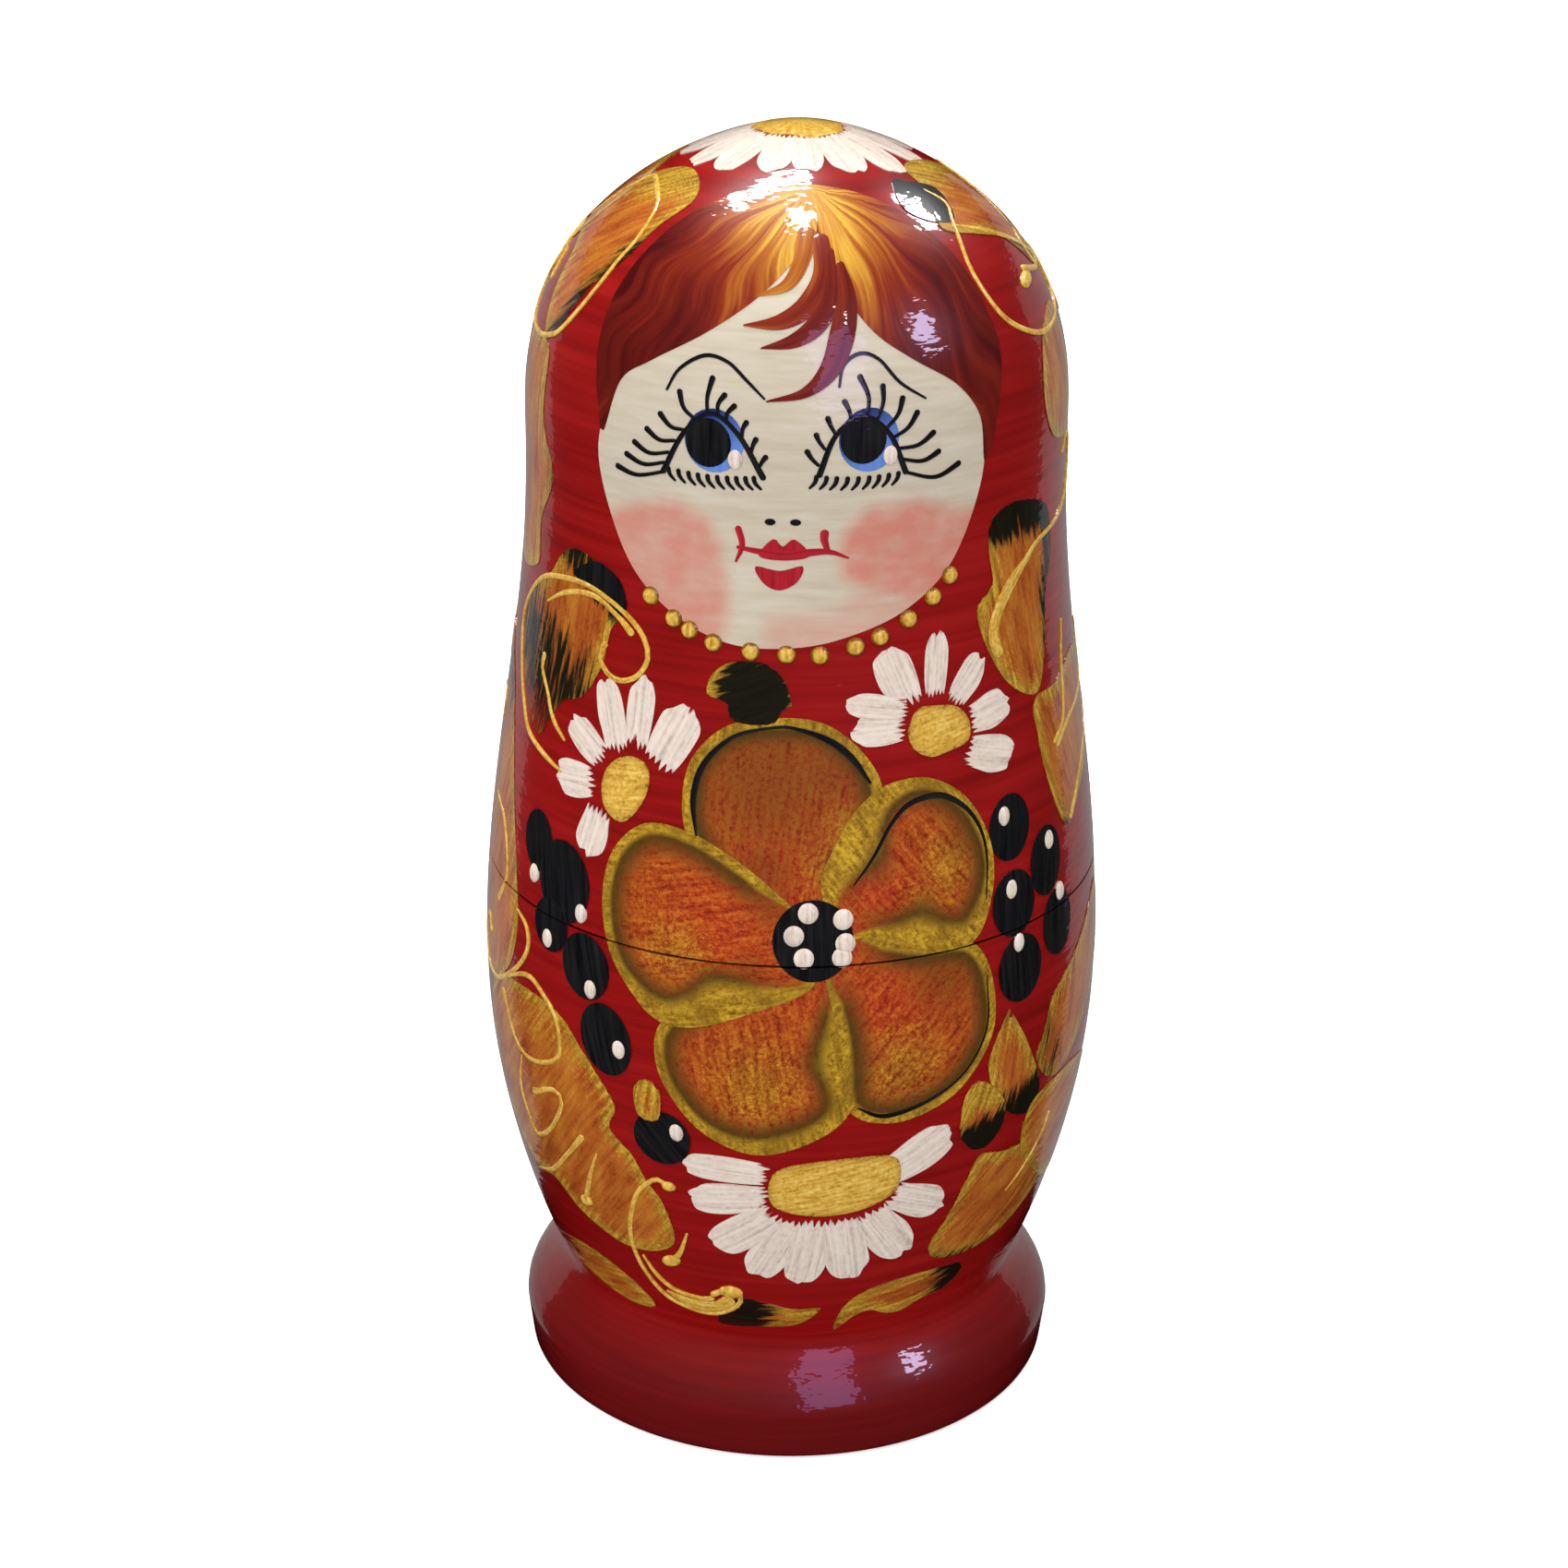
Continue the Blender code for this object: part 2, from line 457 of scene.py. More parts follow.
def edge_distance(points, rim):
    """How far each point is inside the closed rim, or minus how far outside."""
    a, b = rim, np.roll(rim, -1, axis=0)
    way = b - a
    span = np.maximum((way**2).sum(1), 1e-12)
    gap = points[:, None, :] - a[None]
    share = np.clip((gap * way[None]).sum(2) / span[None], 0, 1)
    near = np.linalg.norm(gap - share[..., None] * way[None], axis=2).min(1)
    crosses = (a[None, :, 1] > points[:, None, 1]) != (b[None, :, 1] > points[:, None, 1])
    slope = np.where(np.abs(way[:, 1]) < 1e-12, 1e-12, way[:, 1])
    at = a[None, :, 0] + (points[:, None, 1] - a[None, :, 1]) * (way[:, 0] / slope)[None]
    inside = (crosses & (points[:, None, 0] < at)).sum(1) % 2 == 1
    return np.where(inside, near, -near)


# --- Node helpers ------------------------------------------------------------------------

# The Mix node's colour sockets, by number, since each name is used by several.
MIX_FIRST, MIX_SECOND, MIX_RESULT = 6, 7, 2


class Nodes:
    """Short names for the few shader nodes that the materials and the world use."""

    def __init__(self, owner, shader="Principled BSDF"):
        owner.use_nodes = True
        self.owner = owner
        self.tree = owner.node_tree
        self.shader = self.tree.nodes[shader]

    def put(self, socket, value):
        """Links a socket to another's output, or sets its own value."""
        if isinstance(value, bpy.types.NodeSocket):
            self.tree.links.new(value, socket)
        else:
            socket.default_value = value

    def add(self, kind, inputs, output=0, **settings):
        """A new node's output. inputs are by name or by number."""
        node = self.tree.nodes.new("ShaderNode" + kind)
        for name, value in settings.items():
            setattr(node, name, value)
        for name, value in inputs.items():
            self.put(node.inputs[name], value)
        return node.outputs[output]

    def attribute(self, name):
        return self.add("Attribute", {}, "Vector", attribute_name=name)

    def place(self):
        return self.add("TexCoord", {}, "Object")

    def part(self, vector, axis):
        return self.add("SeparateXYZ", {0: vector}, axis)

    def tone(self, which=DARK):
        return self.part(self.attribute("tone"), which)

    def stretch(self, vector, scale):
        return self.add("Mapping", {"Vector": vector, "Scale": scale})

    def noise(self, vector, scale, detail=3.0, rough=0.55):
        inputs = {"Vector": vector, "Scale": scale, "Detail": detail, "Roughness": rough}
        return self.add("TexNoise", inputs, "Fac")

    def math(self, operation, first, second, third=0.0):
        return self.add("Math", {0: first, 1: second, 2: third}, operation=operation)

    def mix(self, share, first, second):
        """A colour between two, given as colours or as outputs."""
        first, second = ((*c, 1) if isinstance(c, tuple) else c for c in (first, second))
        colours = {0: share, MIX_FIRST: first, MIX_SECOND: second}
        return self.add("Mix", colours, MIX_RESULT, data_type="RGBA")

    def ramp(self, value, *stops):
        """Colours or numbers at places from 0 to 1."""
        output = self.add("ValToRGB", {"Fac": value}, "Color")
        steps = output.node.color_ramp.elements
        while len(steps) < len(stops):
            steps.new(0.5)
        for step, (place, colour) in zip(steps, stops):
            step.position = place
            step.color = (*colour, 1) if isinstance(colour, tuple) else (colour,) * 3 + (1,)
        return output

    def bump(self, height, strength, distance, into="Normal"):
        inputs = {"Height": height, "Strength": strength, "Distance": distance}
        self.put(self.shader.inputs[into], self.add("Bump", inputs, "Normal"))

    def finish(self, colour, roughness, coat=1.0):
        """The material, with a clear coat that ripples a little unless coat is 0."""
        if coat:
            waves = self.noise(self.stretch(self.place(), (300, 300, 900)), 1.0, 2.0, 0.5)
            self.bump(waves, 0.6, 0.0002, "Coat Normal")
        for name, value in (("Base Color", colour), ("Roughness", roughness), ("Coat Weight", coat),
                            ("Coat Roughness", 0.035), ("Specular IOR Level", 0.2)):
            self.put(self.shader.inputs[name], value)
        return self.owner


def material(name):
    """The nodes of a new material."""
    return Nodes(bpy.data.materials.new(name))


def streaks(nodes, fine=1.6, long=0.09):
    """Noise drawn out along the brush, from the brush attribute."""
    return nodes.noise(nodes.stretch(nodes.attribute("brush"), (long, fine, 0.0)), 1.0, 4.0)


def jitter(nodes, value, grain, reach):
    """The value moved up and down by grain."""
    move = nodes.math("MULTIPLY", nodes.math("SUBTRACT", grain, 0.5), reach)
    return nodes.math("ADD", value, move)


def frayed(nodes, amount, grain, soft=0.25):
    """0 to 1 where amount is, its edges broken up into the specks or streaks of grain."""
    inside = nodes.ramp(jitter(nodes, amount, grain, 1.9), (0.5 - soft, 0.0), (0.5 + soft, 1.0))
    return nodes.math("MULTIPLY", inside, nodes.ramp(amount, (0.0, 0.0), (0.15, 1.0)))


def lacquer(nodes):
    """The red of the body, brushed on while the doll turned: its rings, and its colour."""
    place = nodes.place()
    rings = nodes.noise(nodes.stretch(place, (25, 25, 900)), 1.0, 4.0)
    clouds = nodes.noise(place, 45.0, 2.0)
    return rings, nodes.ramp(
        nodes.mix(0.35, rings, clouds),
        (0.30, (0.18, 0.001, 0.001)), (0.50, (0.27, 0.002, 0.002)), (0.72, (0.35, 0.007, 0.006)),
    )


# --- Materials ---------------------------------------------------------------------------


def red_lacquer():
    """The red coat, with painted shade that darkens it towards the foot."""
    nodes = material("red_lacquer")
    rings, colour = lacquer(nodes)
    # Painted shade: near the foot the coat is mixed towards this darker red, as if less light reached it
    # there.
    foot = nodes.mix(rings, (0.085, 0.001, 0.001), (0.17, 0.004, 0.005))
    return nodes.finish(nodes.mix(nodes.tone(), colour, foot), 0.32)


def bare_wood():
    """Turned limewood: pale, ringed by the gouge, and stained at the seam's edge."""
    nodes = material("bare_wood")
    place = nodes.place()
    grain = nodes.noise(nodes.stretch(place, (260, 260, 14)), 1.0, 5.0)
    turning = nodes.noise(nodes.stretch(place, (4, 4, 1500)), 1.0, 2.0)
    colour = nodes.ramp(
        nodes.mix(0.3, grain, turning),
        (0.32, (0.42, 0.25, 0.12)), (0.52, (0.62, 0.42, 0.23)), (0.75, (0.74, 0.55, 0.34)),
    )
    stain = nodes.ramp(nodes.tone(1), (0.25, 0.0), (0.6, 1.0))
    colour = nodes.mix(stain, colour, (0.035, 0.006, 0.004))
    nodes.bump(turning, 0.3, 0.0002)
    return nodes.finish(colour, 0.62, 0.0)


def leaf_paint():
    """Brushed orange and gold powder. tone is dark, gold, and the red that shows through."""
    nodes = material("leaf_paint")
    brush = nodes.attribute("brush")
    streak = streaks(nodes, 1.5, 0.14)
    grain = nodes.mix(0.5, streak, nodes.noise(brush, 1.6, 4.0, 0.8))
    clouds = nodes.noise(nodes.stretch(brush, (0.12, 0.30, 0.0)), 1.0, 2.0)
    body = nodes.ramp(
        nodes.mix(0.62, clouds, grain),
        (0.36, (0.20, 0.022, 0.003)), (0.46, (0.37, 0.078, 0.007)),
        (0.56, (0.48, 0.155, 0.014)), (0.68, (0.52, 0.26, 0.030)),
    )
    gold = nodes.ramp(
        grain, (0.36, (0.14, 0.075, 0.004)), (0.49, (0.37, 0.200, 0.014)), (0.62, (0.66, 0.42, 0.040)),
    )
    colour = nodes.mix(frayed(nodes, nodes.tone(GOLD), grain), body, gold)
    rim = nodes.part(brush, 2)
    colour = nodes.mix(nodes.ramp(rim, (0.45, 0.85), (0.95, 0.0)), colour, gold)
    dark = nodes.mix(streak, (0.003, 0.003, 0.003), (0.020, 0.016, 0.005))
    colour = nodes.mix(frayed(nodes, nodes.tone(DARK), streak, 0.15), colour, dark)
    bare = frayed(nodes, nodes.tone(RED), streak, 0.12)
    ragged = frayed(nodes, nodes.ramp(rim, (0.0, 0.55), (0.6, 0.0)), grain, 0.08)
    colour = nodes.mix(nodes.math("MAXIMUM", bare, ragged), colour, lacquer(nodes)[1])
    nodes.bump(streak, 0.15, 0.0001)
    return nodes.finish(colour, 0.36)


def petal_paint():
    """Orange and red-brown in a gold border. tone is olive shadow, gold glow, and red."""
    nodes = material("petal_paint")
    brush = nodes.attribute("brush")
    speck = nodes.noise(brush, 1.5, 4.0, 0.8)
    grain = nodes.mix(0.6, streaks(nodes, 1.5, 0.20), speck)
    body = nodes.ramp(
        grain, (0.38, (0.17, 0.015, 0.002)), (0.49, (0.36, 0.055, 0.004)), (0.60, (0.50, 0.135, 0.012)),
    )
    red = nodes.ramp(
        grain, (0.38, (0.21, 0.010, 0.002)), (0.49, (0.40, 0.038, 0.005)), (0.60, (0.54, 0.12, 0.012)),
    )
    gold = nodes.ramp(
        grain, (0.38, (0.14, 0.068, 0.003)), (0.48, (0.34, 0.180, 0.009)), (0.60, (0.60, 0.36, 0.022)),
    )
    clouds = nodes.noise(nodes.stretch(brush, (0.22, 0.22, 0.0)), 1.0, 2.0)
    gold = nodes.mix(nodes.ramp(clouds, (0.44, 0.0), (0.62, 0.6)), gold, (0.20, 0.095, 0.006))
    body = nodes.mix(nodes.ramp(nodes.tone(RED), (0.0, 0.0), (0.9, 1.0)), body, red)
    body = nodes.mix(frayed(nodes, nodes.tone(GOLD), speck, 0.4), body, gold)
    olive = nodes.mix(speck, (0.012, 0.009, 0.002), (0.16, 0.075, 0.006))
    colour = nodes.mix(frayed(nodes, nodes.tone(DARK), grain, 0.4), body, olive)
    ring = nodes.math("MULTIPLY", jitter(nodes, nodes.part(brush, 2), grain, 1.2), 0.5)
    colour = nodes.mix(nodes.ramp(ring, (0.38, 1.0), (0.60, 0.0)), colour, gold)
    nodes.bump(speck, 0.15, 0.0001)
    return nodes.finish(colour, 0.36)


def gold_paint():
    """Raised gold lines, beads and the hearts of daisies. tone is shadow."""
    nodes = material("gold_paint")
    streak = streaks(nodes, 2.2, 0.25)
    speck = nodes.noise(nodes.attribute("brush"), 1.6, 3.0, 0.6)
    colour = nodes.ramp(
        nodes.mix(0.5, streak, speck),
        (0.34, (0.38, 0.175, 0.014)), (0.50, (0.66, 0.385, 0.050)), (0.64, (0.84, 0.60, 0.16)),
    )
    colour = nodes.mix(frayed(nodes, nodes.tone(), speck), colour, (0.22, 0.085, 0.005))
    nodes.bump(streak, 0.25, 0.00015)
    return nodes.finish(colour, 0.34)


def white_paint():
    """White tempera with the brush's furrows. tone is where the brush ran dry."""
    nodes = material("white_paint")
    streak = streaks(nodes, 1.9, 0.10)
    speck = nodes.noise(nodes.attribute("brush"), 1.2, 3.0)
    colour = nodes.ramp(
        nodes.mix(0.3, streak, speck),
        (0.34, (0.48, 0.39, 0.34)), (0.46, (0.70, 0.58, 0.49)), (0.60, (0.80, 0.70, 0.61)),
    )
    colour = nodes.mix(frayed(nodes, nodes.tone(), streak, 0.12), colour, lacquer(nodes)[1])
    nodes.bump(streak, 0.3, 0.00015)
    return nodes.finish(colour, 0.38)


def face_paint():
    """Pale primed wood. tone is the pink of the cheeks."""
    nodes = material("face_paint")
    place = nodes.place()
    weave = nodes.noise(nodes.stretch(place, (130, 130, 1100)), 1.0, 4.0)
    skin = nodes.ramp(
        weave, (0.30, (0.52, 0.45, 0.34)), (0.52, (0.575, 0.505, 0.39)), (0.75, (0.62, 0.555, 0.45)),
    )
    dabs = nodes.noise(nodes.stretch(place, (260, 260, 420)), 1.0, 3.0)
    rub = nodes.math("MULTIPLY", nodes.tone(), nodes.ramp(dabs, (0.30, 0.70), (0.62, 1.0)))
    nodes.bump(weave, 0.08, 0.0001)
    return nodes.finish(nodes.mix(rub, skin, (0.60, 0.150, 0.108)), 0.36)


def hair_paint():
    """Chestnut and gold strands. tone is how dark a strand is."""
    nodes = material("hair_paint")
    fine = streaks(nodes, 1.1, 0.05)
    light = nodes.mix(0.5, fine, streaks(nodes, 0.35, 0.04))
    fall = nodes.math("MULTIPLY", nodes.tone(), 0.40)
    colour = nodes.ramp(
        nodes.math("ADD", nodes.math("SUBTRACT", light, fall), 0.20),
        (0.18, (0.060, 0.002, 0.002)), (0.34, (0.14, 0.006, 0.002)), (0.48, (0.23, 0.020, 0.003)),
        (0.62, (0.40, 0.115, 0.008)), (0.80, (0.74, 0.44, 0.045)),
    )
    nodes.bump(fine, 0.2, 0.0001)
    return nodes.finish(colour, 0.34)


def iris_paint():
    """Blue, darker where tone says."""
    nodes = material("iris_paint")
    light = nodes.mix(streaks(nodes), (0.07, 0.16, 0.50), (0.16, 0.30, 0.70))
    return nodes.finish(nodes.mix(nodes.tone(), light, (0.012, 0.025, 0.14)), 0.34)


def plain_paint(name, dark, light, roughness, places=(0.35, 0.65)):
    """One colour, a little uneven, between dark and light."""
    nodes = material(name)
    colour = nodes.ramp(streaks(nodes), (places[0], dark), (places[1], light))
    return nodes.finish(colour, roughness)


def make_materials():
    """Every material, by the paint or piece it is for."""
    return {
        "red": red_lacquer(), "wood": bare_wood(), "leaf": leaf_paint(), "petal": petal_paint(),
        "gold": gold_paint(), "white": white_paint(), "face": face_paint(), "hair": hair_paint(),
        "blue": iris_paint(),
        "black": plain_paint(
            "black_paint", (0.004, 0.004, 0.005), (0.018, 0.017, 0.018), 0.30, (0.35, 0.75)),
        "lips": plain_paint("lip_paint", (0.30, 0.005, 0.012), (0.47, 0.013, 0.030), 0.34),
    }


# --- The turned shells -------------------------------------------------------------------


def foot_line():
    """From the axis under the foot, out round its edge and up to the ankle."""
    edge = FOOT_RADIUS - FOOT_ROUND / 2
    line = [(0.0, 0.0), (edge - FOOT_ROUND, 0.0)]
    for turn in smooth_steps(0, math.pi / 2, 6)[1:]:
        line.append((edge - FOOT_ROUND * (1 - math.sin(turn)), FOOT_ROUND * (1 - math.cos(turn))))
    line.append((FOOT_RADIUS, FOOT_WIDEST))
    for rise in smooth_steps(0, 1, 12)[1:]:
        spread = (1 + math.cos(rise * math.pi)) / 2
        radius = ANKLE_RADIUS + (FOOT_RADIUS - ANKLE_RADIUS) * spread
        line.append((radius, FOOT_WIDEST + (ANKLE_HEIGHT - FOOT_WIDEST) * rise))
    return line


def side_line(low, high, spacing=1.6):
    """The outside between two heights."""
    count = max(3, int((high - low) / spacing))
    return [(outline_radius(z), z) for z in smooth_steps(low, high, count)]


def inset(line, depth):
    """The line moved towards the axis and inward by depth, roughly along its normal."""
    points = np.array(line)
    ways = np.gradient(points, axis=0)
    ways /= np.maximum(np.linalg.norm(ways, axis=1), 1e-9)[:, None]
    moved = points + np.stack([-ways[:, 1], ways[:, 0]], axis=-1) * depth
    moved[:, 0] = np.maximum(moved[:, 0], 0.0)
    for end in (0, -1):
        if points[end, 0] == 0:
            moved[end, 0] = 0.0
    return [tuple(p) for p in moved]


def lower_inside(scale):
    """From the rim in over the spigot, down the hollow and to the axis."""
    gap = SPIGOT_GAP / scale
    waist = outline_radius(SEAM_HEIGHT)
    outer, inner = waist - LIP - gap, waist - WAIST_WALL
    top = SEAM_HEIGHT + SPIGOT_HEIGHT
    line = [
        (outer, SEAM_HEIGHT - SEAM_GAP / scale / 2), (outer, top - SPIGOT_CHAMFER),
        (outer - SPIGOT_CHAMFER, top), (inner + MOUTH_BEVEL, top), (inner, top - MOUTH_BEVEL),
    ]
    floor = ANKLE_RADIUS - ANKLE_WALL
    for rise in smooth_steps(1, 0, 24):
        swell = math.sin(rise * math.pi / 2) ** BODY_FULLNESS if rise else 0.0
        height = ANKLE_HEIGHT + (BELLY_HEIGHT - ANKLE_HEIGHT) * rise
        line.append((floor + (inner - floor) * swell, height))
    return line + [
        (floor, FLOOR_HEIGHT + FLOOR_BEVEL), (floor - FLOOR_BEVEL, FLOOR_HEIGHT), (0.0, FLOOR_HEIGHT),
    ]


def upper_inside(scale):
    """From the apex of the hollow down to the rim."""
    gap = SPIGOT_GAP / scale
    waist = outline_radius(SEAM_HEIGHT)
    recess = SEAM_HEIGHT + SPIGOT_HEIGHT + 2 * gap
    wall = [(outline_radius(z) - UPPER_WALL, z) for z in smooth_steps(HEAD_HEIGHT, recess, 26)]
    hollow = dome(HEAD_RADIUS - UPPER_WALL, HEIGHT - CROWN_WALL, 24)[::-1]
    rim = SEAM_HEIGHT + SEAM_GAP / scale / 2
    return hollow + wall + [(waist - LIP, recess), (waist - LIP, rim)]


def outlines(half, scale):
    """The outside and the inside of a half, or of the solid doll."""
    gap = SEAM_GAP / scale / 2
    crown = dome(HEAD_RADIUS, HEIGHT, 36)
    if half == "upper":
        return side_line(SEAM_HEIGHT + gap, HEAD_HEIGHT) + crown, upper_inside(scale)
    if half == "lower":
        return foot_line() + side_line(ANKLE_HEIGHT, SEAM_HEIGHT - gap)[1:], lower_inside(scale)
    return foot_line() + side_line(ANKLE_HEIGHT, HEAD_HEIGHT)[1:] + crown[1:], []


def put(name, data):
    """A new object in the scene."""
    piece = bpy.data.objects.new(name, data)
    bpy.context.scene.collection.objects.link(piece)
    return piece


def mark(mesh, name, values):
    """Writes three numbers for each vertex, for the materials to read."""
    marks = mesh.attributes.new(name, "FLOAT_VECTOR", "POINT")
    marks.data.foreach_set("vector", np.asarray(values, np.float32).ravel())


def mark_turned(mesh, scale, base):
    """Tones of wood and coat: painted shade that grows towards the foot, and the stain on the rims at the
    seam.
    """
    spots = np.array([v.co for v in mesh.vertices]) / MM
    height = (spots[:, 2] - base) / scale
    radius = np.hypot(spots[:, 0], spots[:, 1]) / scale
    tone = np.zeros((len(spots), 3))
    # Painted shade on the coat, from just above the ankle down to the floor.
    tone[:, 0] = np.clip((FOOT_SHADE_TOP - height) / FOOT_SHADE_FADE, 0, 1)
    near = np.abs(height - SEAM_HEIGHT) * scale < STAIN_HEIGHT
    tone[:, 1] = near * (radius > outline_radius(SEAM_HEIGHT) - STAIN_DEPTH)
    mark(mesh, "tone", tone)


def lathe(name, line, closed, material, scale, base):
    """The line of (radius, height) turned about the axis, joined to itself where closed."""
    form = bmesh.new()
    sides = round(SEGMENTS * (1 + scale) / 2)
    rings = []
    for radius, height in line:
        z = (base + height * scale) * MM
        reach = radius * scale * MM
        turns = circle(sides) if radius > 1e-6 else [0.0]
        rings.append([form.verts.new((reach * math.sin(t), -reach * math.cos(t), z)) for t in turns])
    for first, second in zip(rings, rings[1:] + (rings[:1] if closed else [])):
        if len(first) == 1 and len(second) == 1:
            continue
        for k in range(sides):
            n = (k + 1) % sides
            if len(first) == 1:
                form.faces.new((first[0], second[n], second[k]))
            elif len(second) == 1:
                form.faces.new((first[k], first[n], second[0]))
            else:
                form.faces.new((first[k], first[n], second[n], second[k]))
    bmesh.ops.recalc_face_normals(form, faces=form.faces)
    mesh = to_mesh(name, form, TURNED_CREASE, material)
    mark_turned(mesh, scale, base)
    return put(name, mesh)


def to_mesh(name, form, crease, material):
    """A smooth mesh of the form, sharp where it turns by more than crease degrees."""
    for face in form.faces:
        face.smooth = True
    mesh = bpy.data.meshes.new(name)
    form.to_mesh(mesh)
    form.free()
    mesh.set_sharp_from_angle(angle=math.radians(crease))
    mesh.materials.append(material)
    return mesh


def turn_half(number, half, scale, base, materials):
    """A half of a doll, or a whole solid one: its wood, and the red coat on the outside."""
    body = f"{half}_{number}"
    node = f"doll_{number}_{half}"
    name = f"doll_{number}" if half == "solid" else node
    outside, inside = outlines(half, scale)
    wood_line = inset(outside, WOOD_INSET) + inside
    wood = lathe(name + "_wood", wood_line, half == "upper", materials["wood"], scale, base)
    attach(wood, body)
    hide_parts(node)
    skin = outside if half == "upper" else outside[1:]  # no coat right under the foot
    coat_line = skin + inset(skin, COAT_DEPTH)[::-1]
    coat = lathe(name + "_coat", coat_line, True, materials["red"], scale, base)
    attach(coat, body)


# --- The face ----------------------------------------------------------------------------

FACE = (0.0, 135.0)


def tones(x, dark=0.0, gold=0.0, red=0.0):
    """Three amounts at each place, as a film takes them."""
    return np.stack([np.clip(a, 0, 1) + 0.0 * x for a in (dark, gold, red)], axis=-1)


def soft_inside(x, y, outline, soft):
    """1 well inside an outline, 0 outside it, and a soft step between."""
    away = edge_distance(np.stack([x, y], axis=-1), np.array(outline, float))
    return np.clip(0.5 + away / soft, 0, 1)


def cheeks(x, y, edge):
    """How pink the face is: two cheeks dabbed to its edge, and a touch on the chin."""
    left = [(-28, -8), (-19, -4.6), (-14.4, -3.8), (-10.7, -5.4), (-9, -8.3), (-8.2, -12.5), (-8, -17),
            (-9, -22), (-28, -22)]
    right = [(6, -6.6), (8.8, -3.8), (15, -3.2), (21, -5.6), (28, -6), (28, -19), (14, -16), (9, -14),
             (5.8, -12.2), (5.2, -9)]
    chin = [(-3.4, -17.2), (4.4, -16.6), (8, -13.5), (22, -12), (22, -22), (-3.8, -22)]
    pink = 0.70 * soft_inside(x, y, left, 2.2)
    pink = np.maximum(pink, 0.80 * soft_inside(x, y, right, 2.2))
    pink = np.maximum(pink, 0.42 * soft_inside(x, y, chin, 2.4))
    return tones(x, pink)


def paint_face(paints):
    """The pale disc that the face is painted on."""
    chart = Chart(*FACE)
    disc = [(0, -20.8), (7, -19.4), (14, -16.6), (20, -11.5), (24, -2.5), (24, 4.5), (21, 11), (13, 20),
            (0, 29),
            (-13, 20), (-21.5, 11), (-25.5, 4), (-25.7, -2.5), (-21.5, -12), (-15.5, -17.5), (-8, -20.6)]
    paints["face"].film(chart, catmull(disc, True, 0.9), LIFTS["face"], cheeks, cell=0.9)


PARTING = (1.5, 37.0)


def strands(side, bright, bend=0.009):
    """Brush places for hair that falls from the parting, and how dark it grows.

    bright is how far its gold reaches at the sides, and how much further at the parting.
    """

    def polar(x, y):
        far = np.hypot(x - PARTING[0], PARTING[1] - y)
        return far, np.arctan2(x - PARTING[0], PARTING[1] - y)

    def brushed(x, y):
        far, turn = polar(x, y)
        return far, (turn + side * bend * far + 0.03 * np.sin(far * 0.45 + turn * 9)) * 18

    def tone(x, y, edge):
        far, turn = polar(x, y)
        start = bright[0] + bright[1] * np.clip(1 - np.abs(turn) / 1.25, 0, 1)
        return tones(x, 0.18 + (far - start) / 17)

    return brushed, tone


def paint_hair(paints):
    """Two halves from the parting down, and the wisps of the fringe."""
    chart = Chart(*FACE)
    left = [(1.6, 38), (1.6, 38), (-4.5, 37), (-12, 33), (-19, 26.5), (-24.5, 19), (-26.6, 12), (-26, 5),
            (-25.2, 3),
            (-22.5, 9.5), (-18, 12.5), (-11, 16.5), (-5, 21), (-1, 25.5), (2, 30)]
    right = [(1.6, 38), (1.6, 38), (7, 36.2), (14, 31.5), (20.5, 25), (25, 18), (27.2, 12), (26.4, 5),
             (24.5, 0),
             (23.6, 5.5), (20, 9.8), (14, 13.4), (9, 17), (5, 22.5), (2.6, 29)]
    hair = paints["hair"]
    for outline, side, bright, which in ((left, -1, (6, 10), "left hair"), (right, 1, (4, 13),
                                                                            "right hair")):
        brushed, tone = strands(side, bright)
        hair.film(chart, catmull(outline, True, 0.8), LIFTS[which], tone, brushed, 1.3 + side)
    wisps = [
        ([(1.0, 31), (0.4, 26.5), (-1.3, 23), (-4.9, 21.4)], [2.4, 2.0, 1.5, 0.15], 0.30),
        ([(2.4, 30), (2.9, 24.5), (1.2, 20.6), (-2.0, 18.4), (-6.4, 17.8)], [2.0, 2.4, 2.6, 1.9, 0.15],
         0.62),
        ([(3.4, 28), (3.6, 22), (2.4, 18.4), (-0.4, 16.2), (-4.3, 15.2)], [1.4, 2.2, 2.4, 1.7, 0.15], 0.75),
        ([(4.8, 26), (5.6, 21.5), (5.2, 17), (3.8, 12.9), (0.9, 10.2), (-3.6, 9.1)],
         [0.8, 2.3, 3.0, 2.4, 1.2, 0.15], 0.92),
    ]
    for number, (line, widths, dark) in enumerate(wisps):
        lift = LIFTS["wisps"] + LIFT_STEP * number
        hair.stroke(chart, line, widths, lift, 0.05, 3.0 + number, shade=dark)


def disc_shade(middle):
    """Darker towards the top left of a disc at middle."""
    return lambda x, y, edge: tones(x, 0.45 + (y - middle[1]) / 6 - (x - middle[0]) / 9)


